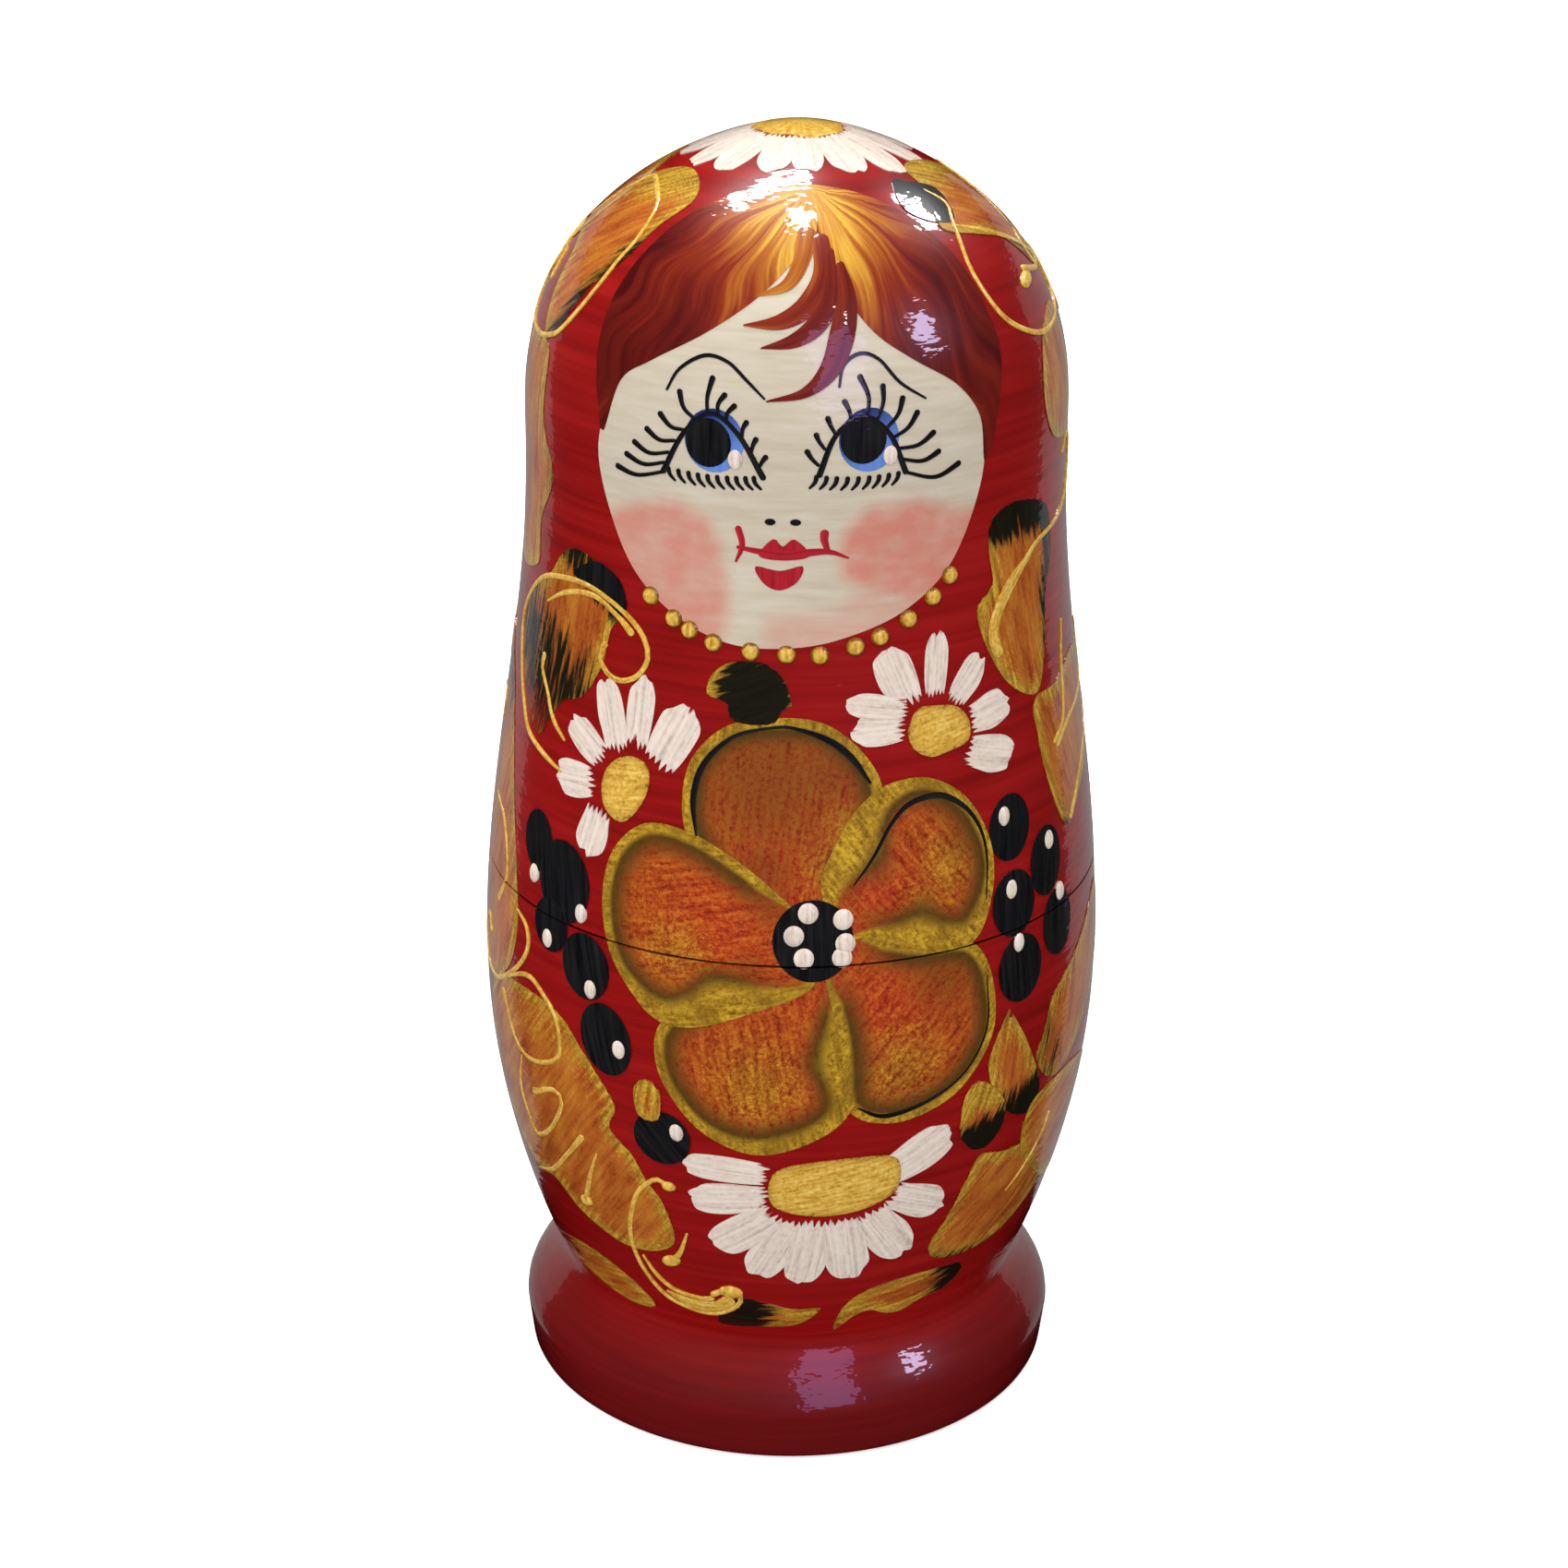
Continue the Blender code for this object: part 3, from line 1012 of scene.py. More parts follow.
def paint_eye(paints, pupil, iris, lid, lashes, lower, brow):
    """A lash is its root, bend and tip. A lower lash is (x, y, lean)."""
    chart = Chart(*FACE)
    black = paints["black"]
    for middle, radius, paint, which in ((iris, 3.65, "blue", "iris"), (pupil, 2.8, "black", "pupil")):
        disc = [(x + middle[0], y + middle[1]) for x, y in ellipse(radius, radius * 1.04)]
        paints[paint].film(chart, disc, LIFTS[which], disc_shade(middle), cell=0.6)
    lift = LIFTS["lines"]
    black.stroke(chart, lid, [0.75, 0.6, 0.5, 0.6, 0.75], lift, 0.05)
    for lash in lashes:
        black.stroke(chart, lash, [0.4, 0.5, 0.75], lift, 0.05, step=0.3)
    for x, y, lean in lower:
        lash = [(x, y), (x + lean * 0.2, y - 0.9), (x + lean, y - 1.7)]
        black.stroke(chart, lash, [0.6, 0.5, 0.25], lift, 0.04, step=0.3)
    black.stroke(chart, brow, [0.3, 0.42, 0.48, 0.42, 0.4, 0.25], lift, 0.04)
    glint = (iris[0] + 2.6, iris[1] - 2.0)
    paints["white"].bead(chart, 0.85, 1.15, LIFTS["eye glint"], 0.12, at=glint)


def paint_eyes(paints):
    """The left eye, then the right."""
    lid = [(-16.4, -0.6), (-13.6, 4.6), (-10.2, 7.3), (-6.8, 5.0), (-3.7, -0.2)]
    lashes = [
        ((-16.2, -0.4), (-20, -1.4), (-23.2, -0.8)), ((-16, 0.8), (-19, 0.1), (-21.8, 1.0)),
        ((-15.4, 2.1), (-18.2, 1.6), (-20.6, 2.7)), ((-14.6, 3.6), (-16.8, 3.4), (-18.8, 4.6)),
        ((-13.5, 5.0), (-15.3, 5.2), (-16.9, 6.7)), ((-12.1, 6.4), (-13.6, 7.6), (-14.2, 9.7)),
        ((-10.6, 7.3), (-10.6, 9.2), (-9.9, 11.7)), ((-9.2, 6.9), (-9.3, 8.4), (-8.3, 9.8)),
        ((-8.2, 6.3), (-8.2, 7.4), (-7.1, 8.6)), ((-6.4, 4.5), (-6.3, 5.8), (-5.7, 6.8)),
        ((-5.3, 2.9), (-5.1, 3.9), (-4.6, 4.9)), ((-4.4, 1.2), (-4.0, 2.0), (-3.4, 2.8)),
    ]
    lower = [(x, 0.35 - 0.3 * math.sin((x + 15.4) * 0.28), 1.0) for x in
             (-15.6, -14.3, -13.0, -11.8, -10.6, -9.4, -8.2, -7.1, -6.0, -5.0)]
    brow = [(-15.9, 9.3), (-14.2, 12.0), (-11, 13.9), (-8.2, 13.4), (-6, 11.5), (-3.7, 9.3)]
    paint_eye(paints, (-10.5, 3.8), (-9.8, 4.1), lid, lashes, lower, brow)
    lid = [(2.6, 0.2), (4.6, 5.2), (7.8, 7.3), (11.1, 5.0), (13.3, 0.0)]
    lashes = [
        ((2.7, 1.6), (1.8, 2.5), (1.1, 3.6)), ((3.4, 3.5), (2.6, 4.6), (2.2, 5.6)),
        ((4.6, 5.3), (4.0, 6.3), (3.5, 7.5)), ((6.4, 6.8), (6.1, 8.1), (5.4, 9.4)),
        ((8.3, 7.2), (8.4, 9.6), (7.2, 12.2)), ((9.5, 6.8), (10.2, 8.8), (10.1, 11.0)),
        ((10.6, 5.7), (12.1, 7.3), (12.7, 9.4)), ((11.4, 4.5), (13.4, 5.6), (14.7, 7.5)),
        ((12.0, 3.2), (14.8, 3.4), (17.0, 4.8)), ((12.6, 1.9), (15.4, 1.4), (17.8, 2.4)),
        ((13.3, 0.2), (17.2, -0.8), (20.7, 0.5)),
    ]
    lower = [(x, 0.55 - 0.3 * math.sin((x - 2.4) * 0.3), -0.9) for x in
             (2.4, 3.6, 4.8, 6.1, 7.4, 8.7, 9.9, 11.1, 12.3)]
    brow = [(4.9, 10.7), (5.4, 13.3), (7.3, 14.6), (9.6, 13.8), (12.3, 10.9), (15.7, 8.7)]
    paint_eye(paints, (7.9, 4.6), (8.6, 4.5), lid, lashes, lower, brow)


def paint_mouth(paints):
    """The line of the mouth, two lips and two nostrils."""
    chart = Chart(*FACE)
    lips = paints["lips"]
    for line, widths in (
        ([(-7.0, -8.6), (-3.6, -9.1), (-1.0, -9.3), (3.6, -8.9), (6.4, -9.8)], [0.4, 0.8, 1.1, 0.7, 0.2]),
        ([(-6.9, -6.0), (-6.3, -8.3), (-7.1, -10.5)], [0.8, 0.7, 0.25]),
        ([(3.5, -6.2), (3.4, -7.5), (3.9, -8.9)], [1.15, 0.9, 0.6]),
    ):
        lips.stroke(chart, line, widths, LIFTS["mouth"], 0.05)
    upper = [(-4.3, -9.5), (-2.6, -7.4), (-1.5, -8.3), (-0.1, -7.4), (1.7, -9.4), (-1.4, -10.0)]
    lower = [(-4.7, -10.9), (-1.8, -11.3), (0.9, -10.7), (0.3, -12.6), (-1.8, -13.7), (-3.7, -12.9)]
    for outline in (upper, lower):
        lips.film(chart, catmull(outline, True, 0.4), LIFTS["mouth"], cell=0.7)
    for x in (-3.0, 0.0):
        paints["black"].bead(chart, 0.65, 0.4, LIFTS["mouth"], 0.04, at=(x, -5.3))


def paint_necklace(paints):
    """A row of gold beads under the face."""
    for angle, height in ((-29.8, 118.9), (-24.5, 116.6), (-21, 115.5), (-16, 114.3), (-8.5, 113.6),
                          (-1.5, 113.4),
                          (5, 113.3), (12, 114.2), (17, 115.2), (23, 117), (28.5, 119.3), (32.5, 121.6)):
        chart = Chart(angle, height)
        paints["gold"].bead(chart, 1.15, 1.15, LIFTS["necklace"], 0.5, seed=angle, rim=0.9)


# --- Flowers and berries -----------------------------------------------------------------


def ragged(outline, rng, amount):
    """The outline with small uneven brush ends."""
    return [(x + rng.uniform(-amount, amount), y + rng.uniform(-amount, amount)) for x, y in outline]


def dry_ends(root, tip):
    """Tone of a petal whose brush ran dry at its root, and a little at its tip."""
    length = math.dist(root, tip)
    run, rise = (tip[0] - root[0]) / length, (tip[1] - root[1]) / length

    def dry(x, y, edge):
        up = (x - root[0]) * run + (y - root[1]) * rise
        return tones(x, np.maximum(0.40 - up / 4.0, 0.26 - (length - up) / 3))

    return dry


def paint_daisy(paints, angle, height, heart, petals, rng):
    """heart is its outline. A petal is its root, its tip and its width."""
    chart = Chart(angle, height)
    for number, (root, tip, width) in enumerate(petals):
        turn = math.degrees(math.atan2(tip[0] - root[0], tip[1] - root[1]))
        outline = catmull(petal_outline(root, tip, width, rng), True, 0.4)
        lift = LIFTS["daisy"] + 0.015 * (number % 3)
        paints["white"].film(chart, outline, lift, dry_ends(root, tip), turn, rng.uniform(0, 9), 1.0)
    outline = catmull(ragged(heart, rng, 0.12), True, 0.6)

    def tone(x, y, edge):
        return tones(x, 0.5 - edge * 0.5)

    paints["gold"].film(chart, outline, LIFTS["daisy heart"], tone, 78, rng.uniform(0, 9))


def paint_daisies(paints, rng, turn=0.0):
    """The two daisies over the flower, left and right."""
    heart = [(-3.4, -0.6), (-2.4, 2.4), (0.2, 4.1), (3.2, 3.4), (3.5, 0.6), (2.2, -2.8), (0, -4.3),
             (-2.4, -3.2)]
    petals = [
        ((-1.5, 4.6), (-3.9, 12.8), 4.2), ((1.4, 5.8), (1.7, 14.3), 3.7), ((4.7, 4.0), (8.2, 11.4), 5.5),
        ((-3.8, 2.9), (-9.4, 6.2), 4.2), ((-4.9, -0.6), (-11.4, -1.4), 4.6), ((-3.5, -3.8), (-5.2, -9.8),
                                                                              4.7),
    ]
    paint_daisy(paints, turn - 33.3, 94.4, heart, petals, rng)
    heart = [(-3.3, 0.6), (-1.8, 2.9), (0.8, 3.1), (3.6, 2.4), (5.4, 0.2), (5.0, -2.2), (2.2, -3.0),
             (-0.4, -3.3), (-2.6, -2)]
    petals = [
        ((0.5, 4.4), (1.3, 11.9), 3.2), ((-3.0, 3.8), (-5.8, 10.6), 5.0), ((-3.4, 3.1), (-10.9, 4.4), 3.1),
        ((-3.9, 0.9), (-10.2, 1.0), 4.0), ((3.5, 3.2), (7.7, 7.9), 3.6), ((5.7, 0.2), (12.0, 1.2), 4.4),
        ((5.2, -3.6), (12.3, -5.8), 4.6),
    ]
    paint_daisy(paints, turn + 27.5, 102.8, heart, petals, rng)


def paint_low_daisy(paints, rng, turn=0.0):
    """The wide daisy under the flower."""
    heart = [(-8.4, 0.4), (-7.6, -3.4), (-2.6, -5.0), (3.3, -4.5), (7.9, -2.2), (8.6, 1.9), (6.6, 3.7),
             (-0.6, 3.7), (-6.4, 2.7)]
    petals = [
        ((-8.8, 1.6), (-19.3, 2.2), 3.9), ((-8.6, -2.2), (-18.6, -3.4), 4.8), ((-7.7, -5.0), (-15.0, -11.4),
                                                                               5.4),
        ((-5.4, -6.0), (-9.4, -15.9), 5.2), ((-2.2, -6.2), (-3.6, -17.0), 5.4), ((1.2, -6.0), (2.8, -16.6),
                                                                                 5.6),
        ((4.8, -5.2), (9.9, -13.6), 5.8), ((7.8, -2.8), (15.2, -6.2), 5.2), ((7.2, 1.0), (15.4, 5.4), 5.8),
    ]
    paint_daisy(paints, turn + 8.5, 43.6, heart, petals, rng)


def paint_crown_daisy(paints, rng):
    """A daisy round the apex, longer to its sides."""
    count = 15
    for k in range(count):
        chart = Crown(360 * k / count + 6 + rng.uniform(-2.5, 2.5))
        far = 13.4 + 2.2 * abs(math.sin(2 * math.pi * k / count)) + rng.uniform(-0.9, 0.9)
        outline = petal_outline((0, 5.9), (0, far), 4.5 + rng.uniform(-0.5, 0.4), rng)
        lift = LIFTS["daisy"] + LIFT_STEP * (k % 3)
        paints["white"].film(chart, catmull(outline, True, 0.4), lift, seed=k, cell=1.0)
    paints["gold"].cap(5.6, LIFTS["crown heart"])


def petal_tone(middle, sweeps, extra):
    """The gold border's width, and the tones, of a petal of the big flower.

    sweeps are (x, y, width): where from its middle the border widens. extra adds dark, glow
    or red places as (x, y, reach, which).
    """

    def border(x, y):
        way = np.stack([x - middle[0], y - middle[1]], axis=-1)
        way /= np.maximum(np.linalg.norm(way, axis=1), 0.01)[:, None]
        far = np.hypot(x, y)
        wide = 1.35 * np.clip((far - 3) / 6, 0.15, 1)
        for sx, sy, width in sweeps:
            facing = (way[:, 0] * sx + way[:, 1] * sy) / math.hypot(sx, sy)
            wide = wide + width * np.clip(facing, 0, 1) ** 4
        return wide

    def tone(x, y, edge):
        far = np.hypot(x, y)
        past = edge - border(x, y)
        amounts = [
            np.clip(1.05 - past / 3.3, 0, 0.95) * np.clip((far - 4) / 7, 0, 1),
            np.zeros_like(x),
            np.clip(0.9 - far / 15, 0, 1),
        ]
        for cx, cy, reach, which in extra:
            near = np.clip(1.1 - np.hypot(x - cx, y - cy) / reach, 0, 0.9)
            amounts[which] = np.maximum(amounts[which], near * (0.5, 0.5, 1.0)[which])
        return tones(x, *amounts)

    return border, tone


def paint_big_flower(paints, turn=0.0):
    """Five petals round a black heart, each laid over the one before it."""
    chart = Chart(turn + 3.9, 77.8)
    petals = [
        ([(-3, 2), (-11, 6), (-15.5, 12), (-16.2, 17.6), (-14.7, 22.6), (-10.3, 26.8), (-3.5, 28.1),
          (2, 27), (6.6, 22.8), (8.6, 18), (7.5, 11), (3, 3)],
         (-4, 16), [], [(2.5, 9, 5, GOLD), (4.5, 14.5, 4, GOLD), (-5, 9, 5, RED), (-6, 9, 6, DARK),
                        (-6, 21, 16, DARK), (2, 22, 9, DARK)], 8),
        ([(-6, -4), (-14, -8), (-19.4, -12.8), (-20, -18), (-17.8, -22.8), (-13.3, -27.4), (-6.7, -29.7),
          (0.2, -27.6), (4.8, -23.6), (5.6, -17), (5.1, -10.5), (4.1, -4.8), (1, -3)],
         (-6, -17), [(1, 0.15, 3.3), (0.2, -1, 1.0)], [(-7, -20, 8, GOLD)], -12),
        ([(1, 0.5), (8, -0.2), (14, -1.8), (20.7, -2.7), (24.2, -7.5), (25.1, -15.1), (22, -20.8),
          (17.2, -24.3), (10.2, -25.7), (4.6, -23), (3.5, -14)],
         (14, -13), [], [(17, -6, 7, DARK), (11, -18, 8, GOLD), (10, -9, 9, RED)], 40),
        ([(-1, 2.6), (-5, 6.6), (-9.2, 9.9), (-15, 12.8), (-21.2, 13), (-26, 8.6), (-27.7, 2.2),
          (-26.6, -4.6), (-23, -9.7), (-19.4, -12.4), (-14.5, -12.3), (-7.6, -9.7), (-0.4, -6.4), (1, -2)],
         (-14, 1), [(0.22, -1, 3.8)], [(-5.0, 5.2, 4.5, DARK), (-8.5, 8.5, 4, DARK), (-17, -3, 6, GOLD),
                                       (-12, 1, 10, RED), (-8, -5, 4, DARK)], 80),
        ([(3, 0.6), (0.9, 7.1), (2.6, 12), (5.2, 16.4), (9, 19.2), (14.5, 19.4), (19.8, 16.1), (23.5, 10.4),
          (24.5, 4.7), (23, -1), (20.5, -3.2), (16.5, -3.2), (11.9, -1.7), (7, 0)],
         (13, 8), [(-1, 0.5, 3.8), (0.25, -1, 2.6)], [(17.5, 8, 5.5, GOLD), (14, 3, 5, GOLD),
                                                      (8.5, 6, 7, RED), (8, 8.5, 3, DARK),
                                                      (21, 12, 6, DARK)], -38),
    ]
    for number, (outline, middle, sweeps, extra, way) in enumerate(petals):
        border, tone = petal_tone(middle, sweeps, extra)
        outline = catmull(outline, True, 0.7)
        lift = LIFTS["petals"] + 0.03 * number
        paints["petal"].film(chart, outline, lift, tone, way, 2.0 + number, 1.0, border)
    lines = [
        ([(-14.4, 12.5), (-14.8, 17.2), (-13.4, 21.7), (-9.6, 25.5), (-4.6, 26.9), (-1.8, 26.7),
          (1.8, 25.3), (4.6, 23), (7, 19.6)],
         [0.2, 0.7, 0.7, 0.45, 0.35, 0.45, 0.75, 0.8, 0.3]),
        ([(4.9, 6.9), (7.3, 10.2), (9.7, 14.4), (12.2, 16.6), (16.2, 16.9), (19.9, 14.6), (22.3, 11.2),
          (23.3, 7.3), (23.2, 2)],
         [0.2, 0.4, 0.5, 0.7, 0.8, 0.6, 0.45, 0.35, 0.15]),
        ([(23.6, -8), (23.8, -15), (20.8, -20.2), (15.6, -23.2), (9.5, -24.5), (5.8, -22.9)],
         [0.12, 0.25, 0.3, 0.45, 0.6, 0.2]),
    ]
    for line, widths in lines:
        paints["black"].stroke(chart, line, widths, LIFTS["petal line"], 0.03)
    paints["black"].film(chart, catmull(ellipse(4.95, 5.3, 16), True), LIFTS["flower heart"])
    for angle, height in ((3, 81.4), (9.2, 80.5), (0.5, 78.5), (9.6, 77.4), (2.3, 75.6), (9, 75.6)):
        chart = Chart(turn + angle, height)
        paints["white"].bead(chart, 1.25, 1.35, LIFTS["heart dots"], 0.3, seed=angle)


def paint_berries(paints, turn, berries, dots):
    """A berry is (angle, height, half width, half height, tilt), and a dot (angle, height)."""
    for number, (angle, height, wide, high, tilt) in enumerate(berries):
        outline = catmull(ellipse(wide, high, 14), True, 0.6)
        lift = LIFTS["berry"] + 0.01 * (number % 3)
        paints["black"].film(Chart(turn + angle, height, tilt), outline, lift, seed=number)
    for number, (angle, height) in enumerate(dots):
        chart = Chart(turn + angle, height)
        paints["white"].bead(chart, 0.95, 1.25, LIFTS["berry dot"], 0.3, seed=number)


def paint_bunches(paints, turn=0.0):
    """The berries on the right of the flower, and those on its left."""
    paint_berries(
        paints, turn,
        [(44.5, 88, 3.6, 4.3, -8), (54.5, 81.5, 3.4, 4.6, -8), (44.5, 78, 3.8, 4.4, 0),
         (57.5, 72.5, 3.5, 4.5, 0), (45.8, 69, 4.0, 4.6, 4)],
        [(43, 89.7), (55.7, 84), (43.8, 80), (58.5, 76.4), (45.2, 72.6)],
    )
    paint_berries(
        paints, turn,
        [(-54.6, 83.4, 3.1, 4.0, 10), (-46.2, 79.8, 4.7, 5.4, 12), (-48.9, 73.4, 3.3, 3.6, 6),
         (-39.5, 69.9, 3.9, 4.4, 12), (-34.6, 60.9, 3.9, 4.9, 14), (-23.4, 48.8, 4.0, 3.9, 40)],
        [(-54.9, 78.9), (-41, 76.7), (-49.5, 71.4), (-38, 67.1), (-31.6, 60.1), (-20.4, 50.1)],
    )


# --- Leaves and scrolls ------------------------------------------------------------------


def toward(way, start, end, which=DARK, most=1.0):
    """Tone that grows from start to end mm along a direction in degrees."""
    dx, dy = math.cos(math.radians(way)), math.sin(math.radians(way))

    def tone(x, y, edge):
        amounts = [0.0, 0.0, 0.0]
        amounts[which] = most * np.clip((x * dx + y * dy - start) / (end - start), 0, 1)
        return tones(x, *amounts)

    return tone


def leaf(paints, lift, places, brushed, seed, *grown):
    """A brushed leaf through (angle, height) places, with gold gathered along its rim.

    grown are the tones that grow over it.
    """
    chart, outline = flatten(places)

    def tone(x, y, edge):
        rim = tones(x, 0.0, 0.85 - edge / 3.6)
        return np.maximum.reduce([rim] + [grow(x, y, edge) for grow in grown])

    def border(x, y):
        return 0.45 + 0.0 * x

    paints["leaf"].film(
        chart, catmull(outline, True, 0.8), lift, tone, brushed, seed, 1.1, border)


def scroll(paints, points, width=0.68, thick=0.28, end=1.5):
    """A raised gold line through (angle, height) places, thin where it starts."""
    widths = [0.3] + [width] * (len(points) - 2) + [width * end]
    paints["gold"].stroke(
        Round(), points, widths, LIFTS["scroll"], thick, seed=points[0][0], step=1.0)


def turned(points, turn):
    """The places, moved round the doll by turn degrees."""
    return [(angle + turn, height) for angle, height in points]


# A leaf is its outline, how it was brushed, a seed, and the tones that grow over it.
SIDE_LEAVES = [
    # beside the crown
    ([(-90, 158), (-86, 162.5), (-74, 165), (-58, 165.7), (-44, 164.6), (-41, 163), (-46.5, 160.5),
      (-50, 157), (-58, 152.5), (-63, 148), (-69, 145.5), (-74, 150), (-78, 155)],
     48, 10.1, toward(-32, 3.0, 7.5), toward(100, 3, 9, GOLD, 0.8)),
    ([(60, 166), (84, 165.7), (101, 163), (98, 158.5), (90, 155), (82, 153.5), (73, 157.5), (61, 159),
      (47.5, 160.5), (55, 163)],
     -55, 11.7, toward(-110, 3, 7.5), toward(90, 2, 8, GOLD, 0.8)),
    # beside the face
    ([(-84, 143), (-66, 145), (-64.5, 136), (-60, 129.5), (-66, 123), (-67, 117), (-82, 118)],
     5, 12.3, toward(0, 2, 7, DARK, 0.7)),
    ([(80, 149), (66, 147), (62, 139.5), (68, 134), (80, 135)], -5, 13.1, toward(180, 4, 8, DARK, 0.4)),
    # on the shoulders
    ([(-60.5, 117), (-55.5, 120.5), (-51, 122), (-45, 121.5), (-37.5, 119.5), (-35.5, 116.5), (-39, 113.5),
      (-41, 108.5), (-45.5, 104), (-51, 102.5), (-55, 99.5), (-59, 96.5), (-66, 100), (-71.5, 107),
      (-69.5, 113)],
     8, 1.1, toward(62, 5.5, 8.5, DARK, 0.75), toward(-120, -6.5, 4.5, DARK, 0.68),
     toward(-110, 6, 15, RED, 0.6)),
    ([(44, 127.5), (42.5, 124), (43.5, 119), (39.5, 117), (40, 113.5), (43.5, 109), (47, 106), (52, 103.8),
      (57, 103.4), (60.5, 108), (62.5, 115), (66, 120), (64, 126), (52, 128.5)],
     -12, 2.3, toward(88, 6, 10), toward(0, 4, 7, DARK, 0.8), toward(180, -2, 6, GOLD, 0.5)),
    # beside the flower
    ([(64.5, 103), (55, 102.5), (55, 98), (57, 92), (60.5, 86.5), (64, 84), (72.5, 87), (86, 92), (88, 100),
      (78, 105)], -22, 3.1, toward(-80, 6, 11, DARK, 0.7)),
    ([(-90, 104), (-78, 102), (-72, 96), (-66, 86), (-62, 78), (-60, 70), (-64, 63), (-75, 60), (-90, 70)],
     14, 5.2, toward(90, 8, 18, DARK, 0.6)),
    ([(64, 66), (55.5, 62.5), (53, 58), (51, 55), (55, 51), (62, 50.5), (73, 56), (84, 64), (80, 72)],
     15, 9.6, toward(-150, 3, 6, DARK, 0.45)),
    # low on the belly
    ([(-72, 60), (-58, 62.5), (-46.5, 62), (-40.5, 58.5), (-36, 55), (-32.8, 51.5), (-34.5, 48), (-30, 45),
      (-27.5, 41.5), (-24.5, 38.5), (-22.8, 33.5), (-24, 31), (-29, 29.2), (-36, 28.8), (-42, 30),
      (-47.5, 31.5), (-54, 34.5), (-62, 34), (-70, 38), (-76, 48)],
     38, 4.7, toward(-25, 13, 19, DARK, 0.65), toward(80, 4, 20, GOLD, 0.5)),
    ([(-66, 21), (-57, 23.5), (-48.5, 24.5), (-39, 23), (-32.3, 19.5), (-33.2, 17.8), (-40.5, 17.2),
      (-50, 18.3)], 75, 6.1, toward(180, 0, 9, RED, 0.7)),
    ([(38.5, 43.5), (35.5, 39.5), (33, 35), (30, 31), (31, 28.5), (36, 27.2), (46, 27), (56, 29), (64, 33),
      (60, 40), (53, 42), (45, 42.5)],
     48, 7.4, toward(-100, 5, 9, DARK, 0.6), toward(20, 2, 12, GOLD, 0.4)),
    ([(42.8, 64), (42.8, 64), (39.6, 60.5), (38, 57), (39.5, 53), (42, 50), (47, 47.5), (52.5, 47),
      (53, 51), (49.5, 56), (46.5, 60)], 8, 8.2, toward(-80, 1, 6, DARK, 0.9)),
    ([(53, 38.5), (49.5, 43.5), (51, 48), (57, 49.5), (68, 49.5), (80, 46), (84, 36), (70, 31)],
     60, 14.2, toward(0, 4, 12, DARK, 0.4)),
]

SIDE_SCROLLS = [
    [(-92, 158), (-84, 162), (-76, 164), (-56, 162.5), (-51, 159.5), (-52.5, 156.5), (-56, 152),
     (-61.5, 148), (-66.5, 146.3), (-75.5, 145.5), (-86, 146.5), (-92, 150), (-90, 154), (-84, 154),
     (-83, 151)],
    [(55, 164), (59, 162.5), (53.5, 160.5), (49, 157), (49.5, 153.5), (54, 150), (64.5, 147.5),
     (76.5, 147.5), (86, 149), (91, 153), (88, 157), (83, 156), (82.5, 153.5)],
    [(53.5, 160.5), (66, 159), (80, 156.5), (88.5, 154), (81.5, 153.3), (70.5, 154.3)],
    [(-49.5, 93.5), (-56, 94.5), (-63, 96), (-66.5, 98.5), (-70.5, 102.5), (-73.5, 108), (-71, 112),
     (-63.5, 116), (-55, 117.6), (-46.5, 118), (-39.5, 117), (-34.5, 115.5), (-31, 113.5),
     (-29.8, 111), (-32, 108.6), (-36, 107.5), (-39.5, 108), (-41.5, 109.5), (-41, 111), (-40, 111.7)],
    [(-60.5, 113.5), (-53, 116), (-44.5, 117), (-38, 115.5), (-33.5, 113.5)],
    [(-49.5, 97.5), (-54, 99.5), (-57, 102.5), (-60, 105), (-59.5, 107)],
    [(74, 131), (79, 133), (83, 130), (80, 126), (71.5, 123.5), (58.5, 122), (49.5, 118.5), (44.5, 115),
     (43.5, 112), (45.3, 109.8)],
    [(70.5, 110), (68.5, 105), (66.5, 98), (61, 95.5)],
    [(86, 107), (90, 104), (88, 100), (80.5, 98.5), (69, 97), (62, 95)],
    [(96, 92), (97, 96), (92, 96.5), (84, 93), (74, 89.5), (65, 84.5)],
    [(-60.5, 72.5), (-56.5, 71), (-56, 68), (-60.5, 64), (-69.5, 60), (-77, 60), (-81, 64), (-77, 67),
     (-74, 65)],
    [(-66.5, 61), (-56, 64.5), (-50, 63), (-46.5, 60.5), (-46, 56), (-50.5, 53.5), (-57, 52.5), (-61.5, 54),
     (-64, 57), (-66.5, 59.5)],
    [(-59, 52), (-61, 47.5), (-60.5, 44), (-57.5, 40.5), (-51, 43.5), (-46.5, 48.5), (-48.5, 50),
     (-56, 47.5)],
    [(-62, 33.5), (-54, 36), (-46.5, 41), (-41.5, 45)],
    [(-38.5, 43), (-41.5, 38.5), (-44.5, 33.5)],
    [(-22.6, 41.2), (-25, 42), (-28, 40.5), (-30.5, 38), (-33, 33), (-33.5, 29), (-32, 25), (-28, 21.5),
     (-22, 20), (-16, 20), (-11, 22), (-10, 24), (-12.5, 25), (-16.5, 23.5)],
    [(-31.5, 28), (-29, 25), (-25, 23), (-18.5, 22.5), (-16, 23)],
    [(-20, 34), (-22, 30.5), (-24.5, 28.2)],
    [(-78, 84), (-70, 82), (-66, 76), (-70, 71)],
    [(48.5, 35), (53, 37.5), (57.5, 41.5), (59, 44.5)],
]

